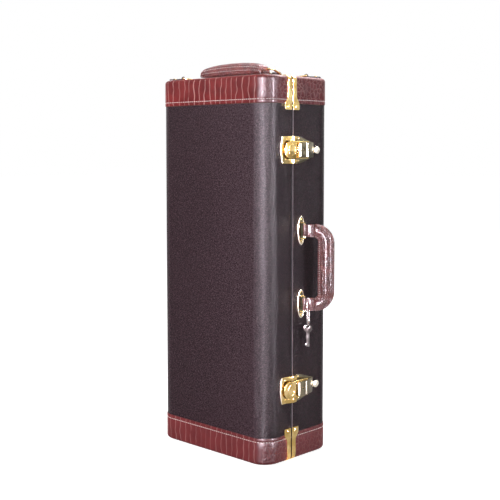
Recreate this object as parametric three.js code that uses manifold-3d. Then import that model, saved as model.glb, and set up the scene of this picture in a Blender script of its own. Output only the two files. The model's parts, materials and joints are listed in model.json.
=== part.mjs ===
// An upright alto saxophone case: a wood shell in two halves with vinyl, leather caps and brass hardware.
// Millimetres. +X is the latch side, -Y the lid's broad face, +Z up. The origin is on the bottom face.
import * as THREE from 'three';
import { mergeVertices } from 'three/addons/utils/BufferGeometryUtils.js';
import Module from 'manifold-3d';

const wasm = await Module();
wasm.setup();

// Driving dimensions
const gap = 0.3;
const overrun = 5;
const box = { width: 252, depth: 160, height: 620, cornerRadius: 30, edgeRadius: 6 };
const seam = { y: -20, opening: 2, bead: 3, beadProud: 0.6 };
const wall = { vinyl: 1, plywood: 5, leather: 1.9, leatherProud: 0.9, capHeight: 44 };
const rim = { frame: 1.8, depth: 15, tongue: 2.2, tongueReach: 7, play: 0.4 };
const plush = { lidRecess: 30, baseRecess: 75, pocketRecess: 55 };
const strap = {
  thick: 1.2, leg: 54, footHeight: 9, legWidth: 9, footWidth: 15.5, endLeg: 36, fromSeam: 0.3, rivet: 2.6,
};
const rivet = { radius: 2, rise: 1.3 };
const latch = { fromEnd: 117.5, plate: 1.2, length: 48, halfHeight: 21.5, tailHalf: 11 };
const lever = { halfWidth: 12.1, sheet: 1.4, top: 11.6, reach: 38.5, pivotOut: 7, pivotBack: 8, tilt: 5.6 };
const thumb = { length: 14, halfWidth: 6.3, rise: 5.2, neckHalf: 4.5 };
const trunnion = { radius: 1.25, play: 0.35, back: 22, down: 1 };
const hook = { arm: 1.4, armHeight: 5, noseLength: 26, sheet: 1.5, noseDrop: 3.4, fan: 11 };
const keeper = {
  length: 22, halfHeight: 21.5, bulge: 3.5, earReach: 11, earHeight: 8, earRise: 6.5, catchRise: 1.1,
};
const barrel = { radius: 4, length: 4.5, slot: 1.2 };
const hinge = {
  length: 60, axisOut: 3.8, knuckle: 2.7, pin: 1.1, bore: 1.45, leafWidth: 14, leafThick: 1.1,
};
const sideHandle = {
  span: 119, aboveMiddle: 3.5, y: 2, swing: 40, reach: 34, half: 13.4, halfThick: 10.5, bend: 19,
  endTaper: 1,
};
const band = { start: 7.6, length: 7, half: 10, halfThick: 6, eyeRadius: 3.2, eyeBore: 1.6 };
const staple = { out: 10, half: 12.5, wire: 1.25, plateLength: 46, plateWidth: 16, plateThick: 1.5 };
const keyLoop = { wire: 0.65, width: 20, height: 46, out: 5.4, skew: 8 };
const key = { bow: 6.6, length: 36, shank: 2.4, thick: 1.5, hole: 2, pitch: 1.1 };
const topGrip = {
  length: 141, width: 26, endHeight: 11.4, midHeight: 20.8, lean: 24.5, clearance: 5.6, y: 2,
};
const topRing = { outset: 2.5, width: 20, reach: 22, wire: 1.6, out: 5.4, lean: 70, play: 0.35 };
const topTab = { width: 15, tail: 18, thick: 3.5, eyeWall: 2.6 };
const ringTab = { width: 18, tail: 24, thick: 3, eyeWall: 1.8, inset: 16.5 };
const dRing = { width: 18, reach: 17, wire: 1.4, play: 0.35, droop: 7 };
const lowTab = { inset: 42, height: 66 };

// Shares of the sizes that they follow, and counts of flats and steps
const domeShares = { shoulder: 0.7, shoulderRise: 0.7 };
const latchShares = {
  shoulder: 0.3, rivet: 0.24, rivetIn: 2, seamRivet: 1.6, seamRivetIn: 1.5, seamRivetSize: 0.8,
  seamRivetRise: 0.5, bracket: 2, bracketTop: 1.2,
};
const leverShares = {
  front: -0.07, shoulder: 0.035, rearShoulder: 0.45, keyway: 0.24, root: 0.45, thumb: 0.62,
};
const hookShares = { bend: 0.3 };
const keeperShares = { ear: 0.8, slope: 0.85, catch: 0.3, rivet: 0.42, rivetIn: 3 };
const barrelShares = { slot: 0.7 };
const hingeShares = { rivets: [0.2, 0.5, 0.8], rivetOut: 0.55 };
const plateShares = { rivet: 0.39 };
const bandShares = { tongue: 0.6, corner: 0.33 };
const sideGripShares = { start: 0.45 };
const keyShares = { hole: 0.5, bit: 2 };
const topTabShares = { end: 0.6, rivet: 0.7 };
const ringTabShares = { end: 0.7, rivet: 0.65 };
const dRingShares = { corner: 0.42 };
const topRingShares = { corner: 2 };
const gripShares = [[-0.8, 0], [0.8, 0], [1, 0.12], [1, 0.5], [0.8, 0.8], [0.4, 0.97], [-0.2, 1],
  [-0.65, 0.9], [-0.95, 0.62], [-1, 0.5], [-1, 0.12]];
const recessShares = [
  [[-0.4, -0.62], 0.36, [-0.56, 0.8], 0.24],
  [[-0.4, -0.62], 0.36, [0.24, -0.62], 0.38],
  [[0.24, -0.62], 0.38, [0.32, -0.1], 0.52],
];
const pocketShares = { left: 0.2, right: 0.84, low: 0.28, high: 0.9, corner: 0.06 };
const flatCounts = { wire: 6, dome: 8, leg: 8, keyEye: 10, rod: 12, bow: 12, grip: 12, oval: 16 };
const thumbCounts = { around: 10, down: 6 };
const turnCounts = { corner: 3, fan: 8, bulge: 6, gripBend: 5, keyLoop: 8, topGrip: 10 };
const knuckleCount = 5;
const mergeTolerance = 1e-4;

// Seam and wall places worked out from the driving dimensions
const side = box.width / 2;
const front = -box.depth / 2;
const back = box.depth / 2;
const lidEdge = seam.y - seam.opening / 2;
const beadFront = seam.y + seam.opening / 2;
const beadBack = beadFront + seam.bead;
const baseEdge = beadBack + gap;
const shellSide = wall.vinyl + gap;
const shellEnd = wall.leather + gap;
const innerSide = shellSide + wall.plywood;
const innerEnd = shellEnd + wall.plywood;
const linerSide = innerSide + gap;
const linerEnd = innerEnd + gap;
const capTop = wall.capHeight;
const capLow = box.height - wall.capHeight;
const latchHeights = { upper: box.height - latch.fromEnd, lower: latch.fromEnd };
const far = box.height + box.width;
const cornerSteps = 5;
const edgeSteps = 2;
const roundSteps = 10;

// Finishes
const finish = (color, roughness, metalness = 0) => () =>
  new THREE.MeshStandardMaterial({ color, roughness, metalness });
const vinyl = finish(0x4e3f45, 0.6);
const leather = finish(0x7a3e40, 0.45);
const brass = finish(0xd9b65c, 0.25, 1);
const steel = finish(0xb8b8ba, 0.3, 1);
const plywood = finish(0xb08a5c, 0.8);
const velvet = finish(0x3a0f18, 0.95);
const beading = finish(0x857a80, 0.4);

const part = new THREE.Group();

function piece(name, body, material) {
  const mesh = new THREE.Mesh(geometryOf(body), material());
  mesh.name = name;
  part.add(mesh);
  return mesh;
}

// Solids: closed geometries become manifolds, which are joined and cut
function solid(geometry) {
  const bare = geometry.clone();
  for (const name of Object.keys(bare.attributes)) {
    if (name !== 'position') {
      bare.deleteAttribute(name);
    }
  }
  const merged = mergeVertices(bare, mergeTolerance);
  const index = Array.from(merged.index.array);
  const faces = [];
  for (let i = 0; i < index.length; i += 3) {
    const [a, b, c] = index.slice(i, i + 3);
    if (a !== b && b !== c && a !== c) {
      faces.push(a, b, c);
    }
  }
  const points = merged.attributes.position.array;
  if (signedVolume(points, faces) < 0) {
    faces.reverse();
  }
  const mesh = new wasm.Mesh({
    numProp: 3,
    vertProperties: new Float32Array(points),
    triVerts: new Uint32Array(faces),
  });
  return new wasm.Manifold(mesh);
}

function signedVolume(points, faces) {
  let sum = 0;
  const at = (i) => new THREE.Vector3(...points.slice(3 * i, 3 * i + 3));
  for (let i = 0; i < faces.length; i += 3) {
    sum += at(faces[i]).dot(at(faces[i + 1]).cross(at(faces[i + 2])));
  }
  return sum;
}

function geometryOf(body) {
  const mesh = body.getMesh();
  const geometry = new THREE.BufferGeometry();
  geometry.setAttribute('position', new THREE.BufferAttribute(mesh.vertProperties, 3));
  geometry.setIndex(new THREE.BufferAttribute(mesh.triVerts, 1));
  geometry.computeVertexNormals();
  return geometry;
}

const join = (...bodies) => bodies.reduce((sum, body) => sum.add(body));
const cut = (body, ...tools) => tools.reduce((rest, tool) => rest.subtract(tool), body);
const placed = (geometry, matrix) => solid(geometry.clone().applyMatrix4(matrix));

function block(x0, x1, y0, y1, z0, z1) {
  const geometry = new THREE.BoxGeometry(x1 - x0, y1 - y0, z1 - z0);
  geometry.translate((x0 + x1) / 2, (y0 + y1) / 2, (z0 + z1) / 2);
  return solid(geometry);
}

// A closed skin over rings of equal count, capped at both ends
function loft(rings) {
  const count = rings[0].length;
  const points = rings.flat();
  const faces = [];
  const last = (rings.length - 1) * count;
  for (let r = 0; r < rings.length - 1; r += 1) {
    for (let i = 0; i < count; i += 1) {
      const j = (i + 1) % count;
      const a = r * count;
      const b = a + count;
      faces.push(a + i, a + j, b + i, a + j, b + j, b + i);
    }
  }
  for (let i = 1; i < count - 1; i += 1) {
    faces.push(0, i + 1, i, last, last + i, last + i + 1);
  }
  const geometry = new THREE.BufferGeometry().setFromPoints(points);
  geometry.setIndex(faces);
  return solid(geometry);
}

// Outlines drawn in a plane and thickened along its normal
const basis = (u, v, w) => new THREE.Matrix4().makeBasis(
  new THREE.Vector3(...u), new THREE.Vector3(...v), new THREE.Vector3(...w));

function slab(shape, depth, matrix, offset = 0) {
  const options = { depth, bevelEnabled: false, curveSegments: roundSteps };
  const geometry = new THREE.ExtrudeGeometry(shape, options);
  geometry.translate(0, 0, offset);
  return placed(geometry, matrix);
}

const polygon = (points) => new THREE.Shape(points.map(([u, v]) => new THREE.Vector2(u, v)));
const slabXZ = (shape, y0, y1) => slab(shape, y1 - y0, basis([1, 0, 0], [0, 0, 1], [0, -1, 0]), -y1);
const slabYZ = (shape, x0, x1) => slab(shape, x1 - x0, basis([0, 1, 0], [0, 0, 1], [1, 0, 0]), x0);
const slabXY = (shape, z0, z1) => slab(shape, z1 - z0, basis([1, 0, 0], [0, 1, 0], [0, 0, 1]), z0);

function rectangle(u0, u1, v0, v1, radius = 0, steps = turnCounts.corner) {
  const points = [];
  const corners = [[u1, v1], [u0, v1], [u0, v0], [u1, v0]];
  for (const [quarter, [u, v]] of corners.entries()) {
    const cu = u - Math.sign(u - (u0 + u1) / 2) * radius;
    const cv = v - Math.sign(v - (v0 + v1) / 2) * radius;
    const count = radius > 0 ? steps : 0;
    for (let i = 0; i <= count; i += 1) {
      const angle = (quarter + (count ? i / count : 0)) * Math.PI / 2;
      points.push([cu + radius * Math.cos(angle), cv + radius * Math.sin(angle)]);
    }
  }
  return polygon(points);
}

function rod(radius, from, to, steps = roundSteps) {
  const start = new THREE.Vector3(...from);
  const run = new THREE.Vector3(...to).sub(start);
  const geometry = new THREE.CylinderGeometry(radius, radius, run.length(), steps);
  geometry.translate(0, run.length() / 2, 0);
  const up = new THREE.Vector3(0, 1, 0);
  const turn = new THREE.Quaternion().setFromUnitVectors(up, run.clone().normalize());
  return placed(geometry, new THREE.Matrix4().compose(start, turn, new THREE.Vector3(1, 1, 1)));
}

// A low dome on a surface, with its root sunk in the plate that it fastens
function dome(at, normal, radius = rivet.radius, rise = rivet.rise) {
  const sink = rise / 2;
  const profile = [[0, -sink], [radius, -sink], [radius, 0],
    [radius * domeShares.shoulder, rise * domeShares.shoulderRise], [0, rise]];
  const line = profile.map(([r, h]) => new THREE.Vector2(r, h));
  const geometry = new THREE.LatheGeometry(line, flatCounts.dome);
  const up = new THREE.Vector3(0, 1, 0);
  const turn = new THREE.Quaternion().setFromUnitVectors(up, new THREE.Vector3(...normal));
  return placed(geometry, new THREE.Matrix4().compose(
    new THREE.Vector3(...at), turn, new THREE.Vector3(1, 1, 1)));
}

// A closed wire loop: a round section swept along a closed route
function wireLoop(points, radius, sides = flatCounts.wire) {
  const route = new THREE.CurvePath();
  points.forEach((p, i) => route.add(new THREE.LineCurve3(p, points[(i + 1) % points.length])));
  const centre = points.reduce((sum, p) => sum.add(p), new THREE.Vector3()).divideScalar(points.length);
  const normal = points[1].clone().sub(points[0]).cross(points[2].clone().sub(points[1])).normalize();
  const rings = points.map((p, i) => {
    const before = points[(i + points.length - 1) % points.length];
    const after = points[(i + 1) % points.length];
    const along = after.clone().sub(before).normalize();
    const out = along.clone().cross(normal).normalize();
    if (out.dot(p.clone().sub(centre)) < 0) {
      out.negate();
    }
    return Array.from({ length: sides }, (_, k) => {
      const angle = (2 * k + 1) / sides * Math.PI;
      return p.clone().addScaledVector(out, radius * Math.cos(angle))
        .addScaledVector(normal, radius * Math.sin(angle));
    });
  });
  const flat = rings.flat();
  const faces = [];
  rings.forEach((_, r) => {
    const a = r * sides;
    const b = (r + 1) % rings.length * sides;
    for (let i = 0; i < sides; i += 1) {
      const j = (i + 1) % sides;
      faces.push(a + i, a + j, b + i, a + j, b + j, b + i);
    }
  });
  const geometry = new THREE.BufferGeometry().setFromPoints(flat);
  geometry.setIndex(faces);
  return solid(geometry);
}

// A loop route in the plane of two unit directions: a straight bar at the start, rounded far corners
function loopRoute(origin, across, along, width, reach, radius) {
  const half = width / 2;
  const route = [[half, 0]];
  for (const quarter of [0, 1]) {
    const centre = quarter === 0 ? half - radius : radius - half;
    for (let i = 0; i <= turnCounts.corner; i += 1) {
      const angle = (quarter + i / turnCounts.corner) * Math.PI / 2;
      route.push([centre + radius * Math.cos(angle), reach - radius + radius * Math.sin(angle)]);
    }
  }
  route.push([-half, 0]);
  return route.map(([u, v]) => new THREE.Vector3(...origin)
    .addScaledVector(across, u).addScaledVector(along, v));
}

// The case outline at one level, with large upright corners
function outlineRing(inset, z) {
  const shape = rectangle(-side + inset, side - inset, front + inset, back - inset,
    box.cornerRadius - inset, cornerSteps);
  return shape.getPoints().map((p) => new THREE.Vector3(p.x, p.y, z));
}

function caseBlock(sideInset, endInset) {
  const edge = Math.max(box.edgeRadius - sideInset, gap);
  const low = [];
  const high = [];
  for (let k = 0; k <= edgeSteps; k += 1) {
    const angle = k / edgeSteps * Math.PI / 2;
    const inset = sideInset + edge * (1 - Math.sin(angle));
    const rise = endInset + edge * (1 - Math.cos(angle));
    low.push(outlineRing(inset, rise));
    high.unshift(outlineRing(inset, box.height - rise));
  }
  return loft([...low, ...high]);
}

const sleeve = (inset, z0, z1) => loft([outlineRing(inset, z0), outlineRing(inset, z1)]);
const lidHalf = (limit = lidEdge) => block(-far, far, -far, limit, -far, far);
const baseHalf = (limit = baseEdge) => block(-far, far, limit, far, -far, far);

// Shells, covers and caps, each made whole and cut at the seam
const wholeShell = cut(caseBlock(shellSide, shellEnd), caseBlock(innerSide, innerEnd));
const wholeCover = cut(sleeve(0, capTop + gap, capLow - gap), sleeve(wall.vinyl, 0, box.height));
const wholeCap = cut(caseBlock(-wall.leatherProud, 0), caseBlock(wall.vinyl, wall.leather));
const lowEnd = block(-far, far, -far, far, -far, capTop);
const highEnd = block(-far, far, -far, far, capLow, far);

// Strap legs run over the end edge: above the leather at the top, and flush in it under the bottom
const strapSpan = {
  lid: [lidEdge - strap.fromSeam - strap.legWidth, lidEdge - strap.fromSeam],
  base: [beadFront + gap, beadFront + gap + strap.legWidth],
};

function strapLeg(half, way, up, slack) {
  const [y0, y1] = strapSpan[half];
  const out = side + wall.leatherProud + gap;
  const end = up ? box.height + gap : strap.thick;
  const dir = up ? 1 : -1;
  const turn = box.edgeRadius + wall.leatherProud + gap;
  const arc = (radius) => Array.from({ length: turnCounts.corner + 1 }, (_, i) => {
    const angle = i / turnCounts.corner * Math.PI / 2;
    return [way * (out - turn + radius * Math.cos(angle)), end - dir * (turn - radius * Math.sin(angle))];
  });
  const tip = way * (side - strap.endLeg - slack);
  const foot = (up ? box.height : 0) - dir * strap.leg;
  const skin = strap.thick + slack;
  return slabXZ(polygon([
    [way * (out + skin), foot],
    ...arc(turn + skin),
    [tip, end + dir * skin],
    [tip, end - dir * slack],
    ...arc(turn - slack).reverse(),
    [way * (out - slack), foot],
  ]), y0 - slack, y1 + slack);
}

const recessesFor = (half, up) => [-1, 1].map((way) => strapLeg(half, way, up, gap));

for (const half of ['lid', 'base']) {
  const mask = half === 'lid' ? lidHalf() : baseHalf();
  piece(`${half}_shell`, wholeShell.intersect(mask), plywood);
  piece(`${half}_cover`, wholeCover.intersect(mask), vinyl);
  piece(`${half}_top_cap`, wholeCap.intersect(mask).intersect(highEnd), leather);
  piece(`${half}_bottom_cap`, cut(wholeCap.intersect(mask).intersect(lowEnd), ...recessesFor(half, false)),
    leather);
}

// Rims: the base carries the seam bead and a tongue that slides inside the lid's frame
function frameXZ(outerSide, outerEnd, innerSideInset, innerEndInset, y0, y1, radius) {
  const outer = rectangle(-side + outerSide, side - outerSide, outerEnd, box.height - outerEnd, radius);
  const inner = rectangle(-side + innerSideInset, side - innerSideInset,
    innerEndInset, box.height - innerEndInset);
  return cut(slabXZ(outer, y0, y1), slabXZ(inner, y0 - overrun, y1 + overrun));
}

const tongueSide = linerSide + rim.frame + rim.play;
const tongueEnd = linerEnd + rim.frame + rim.play;
piece('lid_rim', frameXZ(linerSide, linerEnd, linerSide + rim.frame, linerEnd + rim.frame,
  lidEdge - rim.depth, lidEdge, 0), velvet);
const wholeRim = join(
  frameXZ(-seam.beadProud, 0, tongueSide + rim.tongue, tongueEnd + rim.tongue,
    beadFront, beadBack, box.edgeRadius),
  frameXZ(tongueSide, tongueEnd, tongueSide + rim.tongue, tongueEnd + rim.tongue,
    lidEdge - rim.tongueReach, beadBack, 0));
piece('base_rim', cut(wholeRim, ...recessesFor('base', false), ...recessesFor('base', true)), beading);

// Liners with a recess in the saxophone's outline: the body tube, the bow and the bell
const middle = box.height / 2;

function taperedSlot([u0, v0], r0, [u1, v1], r1) {
  const steps = roundSteps;
  const heading = Math.atan2(v1 - v0, u1 - u0);
  const lean = Math.acos((r0 - r1) / Math.hypot(u1 - u0, v1 - v0));
  const points = [];
  for (let i = 0; i <= steps; i += 1) {
    const angle = heading - lean + i / steps * 2 * lean;
    points.push([u1 + r1 * Math.cos(angle), v1 + r1 * Math.sin(angle)]);
  }
  for (let i = 0; i <= steps; i += 1) {
    const angle = heading + lean + i / steps * 2 * (Math.PI - lean);
    points.push([u0 + r0 * Math.cos(angle), v0 + r0 * Math.sin(angle)]);
  }
  return polygon(points);
}

function recess(y0, y1) {
  const place = ([u, v]) => [u * side, middle + v * middle];
  return join(...recessShares.map(([from, r0, to, r1]) =>
    slabXZ(taperedSlot(place(from), r0 * side, place(to), r1 * side), y0, y1)));
}

const pocket = rectangle(pocketShares.left * side, pocketShares.right * side,
  middle + pocketShares.low * middle, middle + pocketShares.high * middle, pocketShares.corner * side);
const wholeLiner = caseBlock(linerSide, linerEnd);
const lidLinerFace = lidEdge - rim.depth - gap;
piece('lid_liner', cut(wholeLiner.intersect(lidHalf(lidLinerFace)),
  recess(lidLinerFace - plush.lidRecess, lidLinerFace + overrun)), velvet);
piece('base_liner', cut(wholeLiner.intersect(baseHalf()),
  recess(baseEdge - overrun, baseEdge + plush.baseRecess),
  slabXZ(pocket, baseEdge - overrun, baseEdge + plush.pocketRecess)), velvet);

// Corner straps: an L of brass over the end edge with a flared, riveted foot on the side
function cornerStrap(half, way, up) {
  const [y0, y1] = strapSpan[half];
  const out = side + wall.leatherProud + gap;
  const dir = up ? 1 : -1;
  const foot = (up ? box.height : 0) - dir * strap.leg;
  const leg = strapLeg(half, way, up, 0);
  const outward = half === 'lid' ? -1 : 1;
  const seamSide = half === 'lid' ? y1 : y0;
  const farSide = seamSide + outward * strap.footWidth;
  const legSide = half === 'lid' ? y0 : y1;
  const waist = foot + dir * strap.footHeight;
  const flare = foot + dir * 2 * strap.footHeight;
  const shape = polygon([[seamSide, foot], [farSide, foot], [farSide, waist], [legSide, flare],
    [seamSide, flare]]);
  const x0 = Math.min(way * out, way * (out + strap.thick));
  const flared = slabYZ(shape, x0, x0 + strap.thick);
  const padSide = half === 'lid' ? seamSide : beadBack + gap;
  const pad = slabYZ(polygon([[padSide, foot], [farSide, foot], [farSide, waist - dir * rivet.rise],
    [padSide, waist - dir * rivet.rise]]),
    Math.min(way * (side + gap), way * (out + strap.thick)),
    Math.max(way * (side + gap), way * (out + strap.thick)));
  const head = dome([way * (out + strap.thick), seamSide + outward * strap.footWidth / 2,
    foot + dir * strap.footHeight / 2], [way, 0, 0], strap.rivet, rivet.rise);
  return join(leg, flared, pad, head);
}

for (const half of ['lid', 'base']) {
  for (const [sideName, way] of [['latch', 1], ['hinge', -1]]) {
    for (const [endName, up] of [['top', true], ['bottom', false]]) {
      piece(`${half}_corner_${endName}_${sideName}`, cornerStrap(half, way, up), brass);
    }
  }
}

// Draw latches. u is out from the side, v along +Y, w along the height from the latch's centre
const plateFront = beadBack + gap;
const pivotY = seam.y + lever.pivotBack;
const plateTop = gap + latch.plate;
const trunnionAt = [side + lever.pivotOut - trunnion.down, pivotY + trunnion.back];
const armInner = lever.halfWidth + gap;
const armOuter = armInner + hook.arm;
const slabUV = (points, w0, w1) => slabXY(polygon(points.map(([u, v]) => [side + u, v])), w0, w1);

function latchPlate(zc) {
  const outline = polygon([
    [plateFront, zc - latch.halfHeight],
    [plateFront + latch.length * latchShares.shoulder, zc - latch.halfHeight],
    [plateFront + latch.length, zc - latch.tailHalf],
    [plateFront + latch.length, zc + latch.tailHalf],
    [plateFront + latch.length * latchShares.shoulder, zc + latch.halfHeight],
    [plateFront, zc + latch.halfHeight],
  ]);
  const inner = lever.halfWidth - lever.sheet - gap;
  const bracketHalf = latchShares.bracket * trunnion.radius;
  const bracketTop = lever.pivotOut + latchShares.bracketTop * trunnion.radius;
  const bracket = slabUV([[plateTop - gap, pivotY - bracketHalf], [plateTop - gap, pivotY + bracketHalf],
    [bracketTop, pivotY + bracketHalf], [bracketTop, pivotY - bracketHalf]], zc - inner, zc + inner);
  const boss = rod(trunnion.radius, [side + lever.pivotOut, pivotY, zc - lever.halfWidth],
    [side + lever.pivotOut, pivotY, zc + lever.halfWidth]);
  const rivets = [-1, 1].flatMap((way) => [
    dome([side + plateTop, plateFront + latch.length * latchShares.rivet,
      zc + way * (latch.halfHeight - latchShares.rivetIn * rivet.radius)], [1, 0, 0]),
    dome([side + plateTop, plateFront + latchShares.seamRivet * rivet.radius,
      zc + way * (latch.halfHeight - latchShares.seamRivetIn * rivet.radius)], [1, 0, 0],
    rivet.radius * latchShares.seamRivetSize, rivet.rise * latchShares.seamRivetRise),
  ]);
  return join(slabYZ(outline, side + gap, side + plateTop), bracket, boss, ...rivets);
}

function latchLever(zc) {
  const v = (share) => pivotY + lever.reach * share;
  const low = lever.pivotOut * leverShares.root;
  const outer = [[low, v(leverShares.front)], [lever.top - lever.sheet / 2, v(leverShares.front)],
    [lever.top, v(leverShares.shoulder)], [lever.top, v(leverShares.rearShoulder)],
    [lever.tilt, v(1)], [low, v(1)]];
  const ceiling = lever.top - lever.sheet;
  const inner = [[-overrun, v(leverShares.front) - overrun], [ceiling, v(leverShares.front) - overrun],
    [ceiling, v(leverShares.rearShoulder)], [lever.tilt - lever.sheet, v(1) - lever.sheet],
    [-overrun, v(1) - lever.sheet]];
  const walls = lever.halfWidth - lever.sheet;
  const tray = cut(slabUV(outer, zc - lever.halfWidth, zc + lever.halfWidth),
    slabUV(inner, zc - walls, zc + walls));
  const neck = slabUV([[low, v(1) - lever.sheet], [lever.tilt - lever.sheet, v(1) - lever.sheet],
    [lever.tilt - lever.sheet, v(1) + thumb.length / 2], [low, v(1) + thumb.length / 2]],
  zc - thumb.neckHalf, zc + thumb.neckHalf);
  const tabGeometry = new THREE.SphereGeometry(1, thumbCounts.around, thumbCounts.down);
  tabGeometry.scale(thumb.rise / 2, thumb.length / 2, thumb.halfWidth);
  const tab = placed(tabGeometry, new THREE.Matrix4().makeTranslation(
    side + low + thumb.rise / 2, v(1) + thumb.length * leverShares.thumb, zc));
  const bore = (at, radius) => rod(radius, [at[0], at[1], zc - lever.halfWidth - overrun],
    [at[0], at[1], zc + lever.halfWidth + overrun]);
  const slack = trunnion.radius + trunnion.play;
  const keyWay = rod(trunnion.radius + gap, [side + ceiling - overrun, v(leverShares.keyway), zc],
    [side + lever.top + overrun, v(leverShares.keyway), zc], flatCounts.leg);
  return cut(join(tray, neck, tab), bore([side + lever.pivotOut, pivotY], slack),
    bore(trunnionAt, slack), keyWay);
}

// The hook straddles the lever on two arms, and its nose lies over the keeper
function latchHook(zc) {
  const [tx, ty] = trunnionAt;
  const armU = tx - side;
  const noseBack = pivotY + lever.reach * leverShares.front - 2 * gap;
  const half = hook.armHeight / 2;
  const arms = [-1, 1].map((way) => {
    const w0 = Math.min(way * armInner, way * armOuter);
    return slabUV([[armU - half, noseBack - hook.arm], [armU + half, noseBack - hook.arm],
      [armU + half, ty + half], [armU - half, ty + half]], zc + w0, zc + w0 + hook.arm);
  });
  const fan = [[noseBack, -armOuter]];
  for (let i = 0; i <= turnCounts.fan; i += 1) {
    const angle = -Math.PI / 2 - i / turnCounts.fan * Math.PI;
    fan.push([noseBack - hook.noseLength + hook.fan + hook.fan * Math.cos(angle),
      armOuter * Math.sin(angle)]);
  }
  fan.push([noseBack, armOuter]);
  const shape = polygon(fan.map(([v, w]) => [v, zc + w]));
  const bendAt = noseBack - hook.noseLength * hookShares.bend;
  const bent = slabUV([[armU + half - hook.sheet, noseBack], [armU + half, noseBack],
    [armU + half, bendAt],
    [armU + half - hook.noseDrop, noseBack - hook.noseLength - gap],
    [armU + half - hook.noseDrop - hook.sheet, noseBack - hook.noseLength - gap],
    [armU + half - hook.sheet, bendAt]], zc - armOuter, zc + armOuter);
  const nose = slabYZ(shape, side, side + lever.top).intersect(bent);
  const pins = [-1, 1].map((way) => rod(trunnion.radius, [tx, ty, zc + way * (armOuter - gap)],
    [tx, ty, zc + way * (lever.halfWidth - lever.sheet + gap)]));
  return join(...arms, nose, ...pins);
}

function latchKeeper(zc) {
  const right = lidEdge - gap;
  const left = right - keeper.length;
  const points = [[right, zc - keeper.halfHeight]];
  for (let i = 0; i <= turnCounts.bulge; i += 1) {
    const share = i / turnCounts.bulge * 2 - 1;
    points.push([left - keeper.bulge * (1 - share * share), zc + share * keeper.halfHeight]);
  }
  points.reverse();
  points.unshift([right, zc + keeper.halfHeight]);
  const plate = slabYZ(polygon([...points]), side + gap, side + plateTop);
  const earOut = plateTop + gap;
  const ears = [-1, 1].map((way) => {
    const w1 = way * keeper.halfHeight;
    const w0 = way * (keeper.halfHeight - keeper.earHeight * keeperShares.ear);
    return slabUV([[plateTop - gap, right - keeper.earReach / 2], [plateTop - gap, right],
      [earOut + seam.beadProud, right], [earOut + seam.beadProud, right + keeper.earReach],
      [keeper.earRise * keeperShares.slope, right + keeper.earReach * keeperShares.slope],
      [keeper.earRise, right],
      [plateTop, right - keeper.earReach]], zc + Math.min(w0, w1), zc + Math.max(w0, w1));
  });
  const catchY = left + keeper.length * keeperShares.catch;
  const bump = slabUV([[plateTop - gap, catchY], [plateTop + keeper.catchRise, catchY],
    [plateTop + keeper.catchRise, catchY + keeper.catchRise],
    [plateTop - gap, catchY + 2 * keeper.catchRise]], zc - keeper.earHeight, zc + keeper.earHeight);
  const rivets = [-1, 1].map((way) => dome(
    [side + plateTop, left + keeper.length * keeperShares.rivet,
      zc + way * (keeper.halfHeight - keeperShares.rivetIn * rivet.radius)], [1, 0, 0]));
  return join(plate, ...ears, bump, ...rivets);
}

for (const [name, zc] of Object.entries(latchHeights)) {
  piece(`latch_plate_${name}`, latchPlate(zc), brass);
  piece(`latch_keeper_${name}`, latchKeeper(zc), brass);
  piece(`latch_lever_${name}`, latchLever(zc), brass);
  piece(`latch_hook_${name}`, latchHook(zc), brass);
  const x1 = side + lever.top - lever.sheet - gap;
  const barrelY = pivotY + lever.reach * leverShares.keyway;
  const slotHalf = barrel.radius * barrelShares.slot;
  piece(`lock_barrel_${name}`, cut(
    rod(barrel.radius, [x1 - barrel.length, barrelY, zc], [x1, barrelY, zc], flatCounts.rod),
    block(x1 - barrel.slot, x1 + overrun, barrelY - barrel.slot / 2, barrelY + barrel.slot / 2,
      zc - slotHalf, zc + slotHalf)), steel);
}

// Butt hinges on the far side, opposite the latches
const axisX = -(side + hinge.axisOut);

function hingeLeaf(half, zc) {
  const way = half === 'lid' ? -1 : 1;
  const parity = half === 'lid' ? 1 : 0;
  const clear = hinge.knuckle + gap;
  const x0 = -(side + seam.beadProud + gap);
  const x1 = x0 - hinge.leafThick;
  const low = zc - hinge.length / 2;
  const pitch = hinge.length / knuckleCount;
  const yNear = seam.y + way * clear;
  const yFar = seam.y + way * (clear + hinge.leafWidth);
  let body = block(x1, x0, Math.min(yNear, yFar), Math.max(yNear, yFar), low, low + hinge.length);
  for (let i = parity; i < knuckleCount; i += 2) {
    const z0 = low + i * pitch + gap / 2;
    const z1 = low + (i + 1) * pitch - gap / 2;
    const webEnd = yNear + way * gap;
    const web = block(x1, x0, Math.min(seam.y, webEnd), Math.max(seam.y, webEnd), z0, z1);
    body = join(body, web, rod(hinge.knuckle, [axisX, seam.y, z0], [axisX, seam.y, z1], flatCounts.rod));
  }
  const rivets = hingeShares.rivets.map((share) => dome(
    [x1, seam.y + way * (clear + hinge.leafWidth * hingeShares.rivetOut), low + hinge.length * share],
    [-1, 0, 0]));
  return cut(join(body, ...rivets),
    rod(hinge.bore, [axisX, seam.y, low - overrun], [axisX, seam.y, low + hinge.length + overrun],
      flatCounts.rod));
}

for (const [name, zc] of Object.entries(latchHeights)) {
  piece(`hinge_leaf_lid_${name}`, hingeLeaf('lid', zc), brass);
  piece(`hinge_leaf_base_${name}`, hingeLeaf('base', zc), brass);
  piece(`hinge_pin_${name}`, rod(hinge.pin, [axisX, seam.y, zc - hinge.length / 2],
    [axisX, seam.y, zc + hinge.length / 2]), steel);
}

// Side handle: oval plates with staples, end bands with an eye on the staple bar, and a padded grip
const barX = side + staple.out;
const handleMiddle = middle + sideHandle.aboveMiddle;
const handleEnds = {
  upper: handleMiddle + sideHandle.span / 2,
  lower: handleMiddle - sideHandle.span / 2,
};

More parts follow.
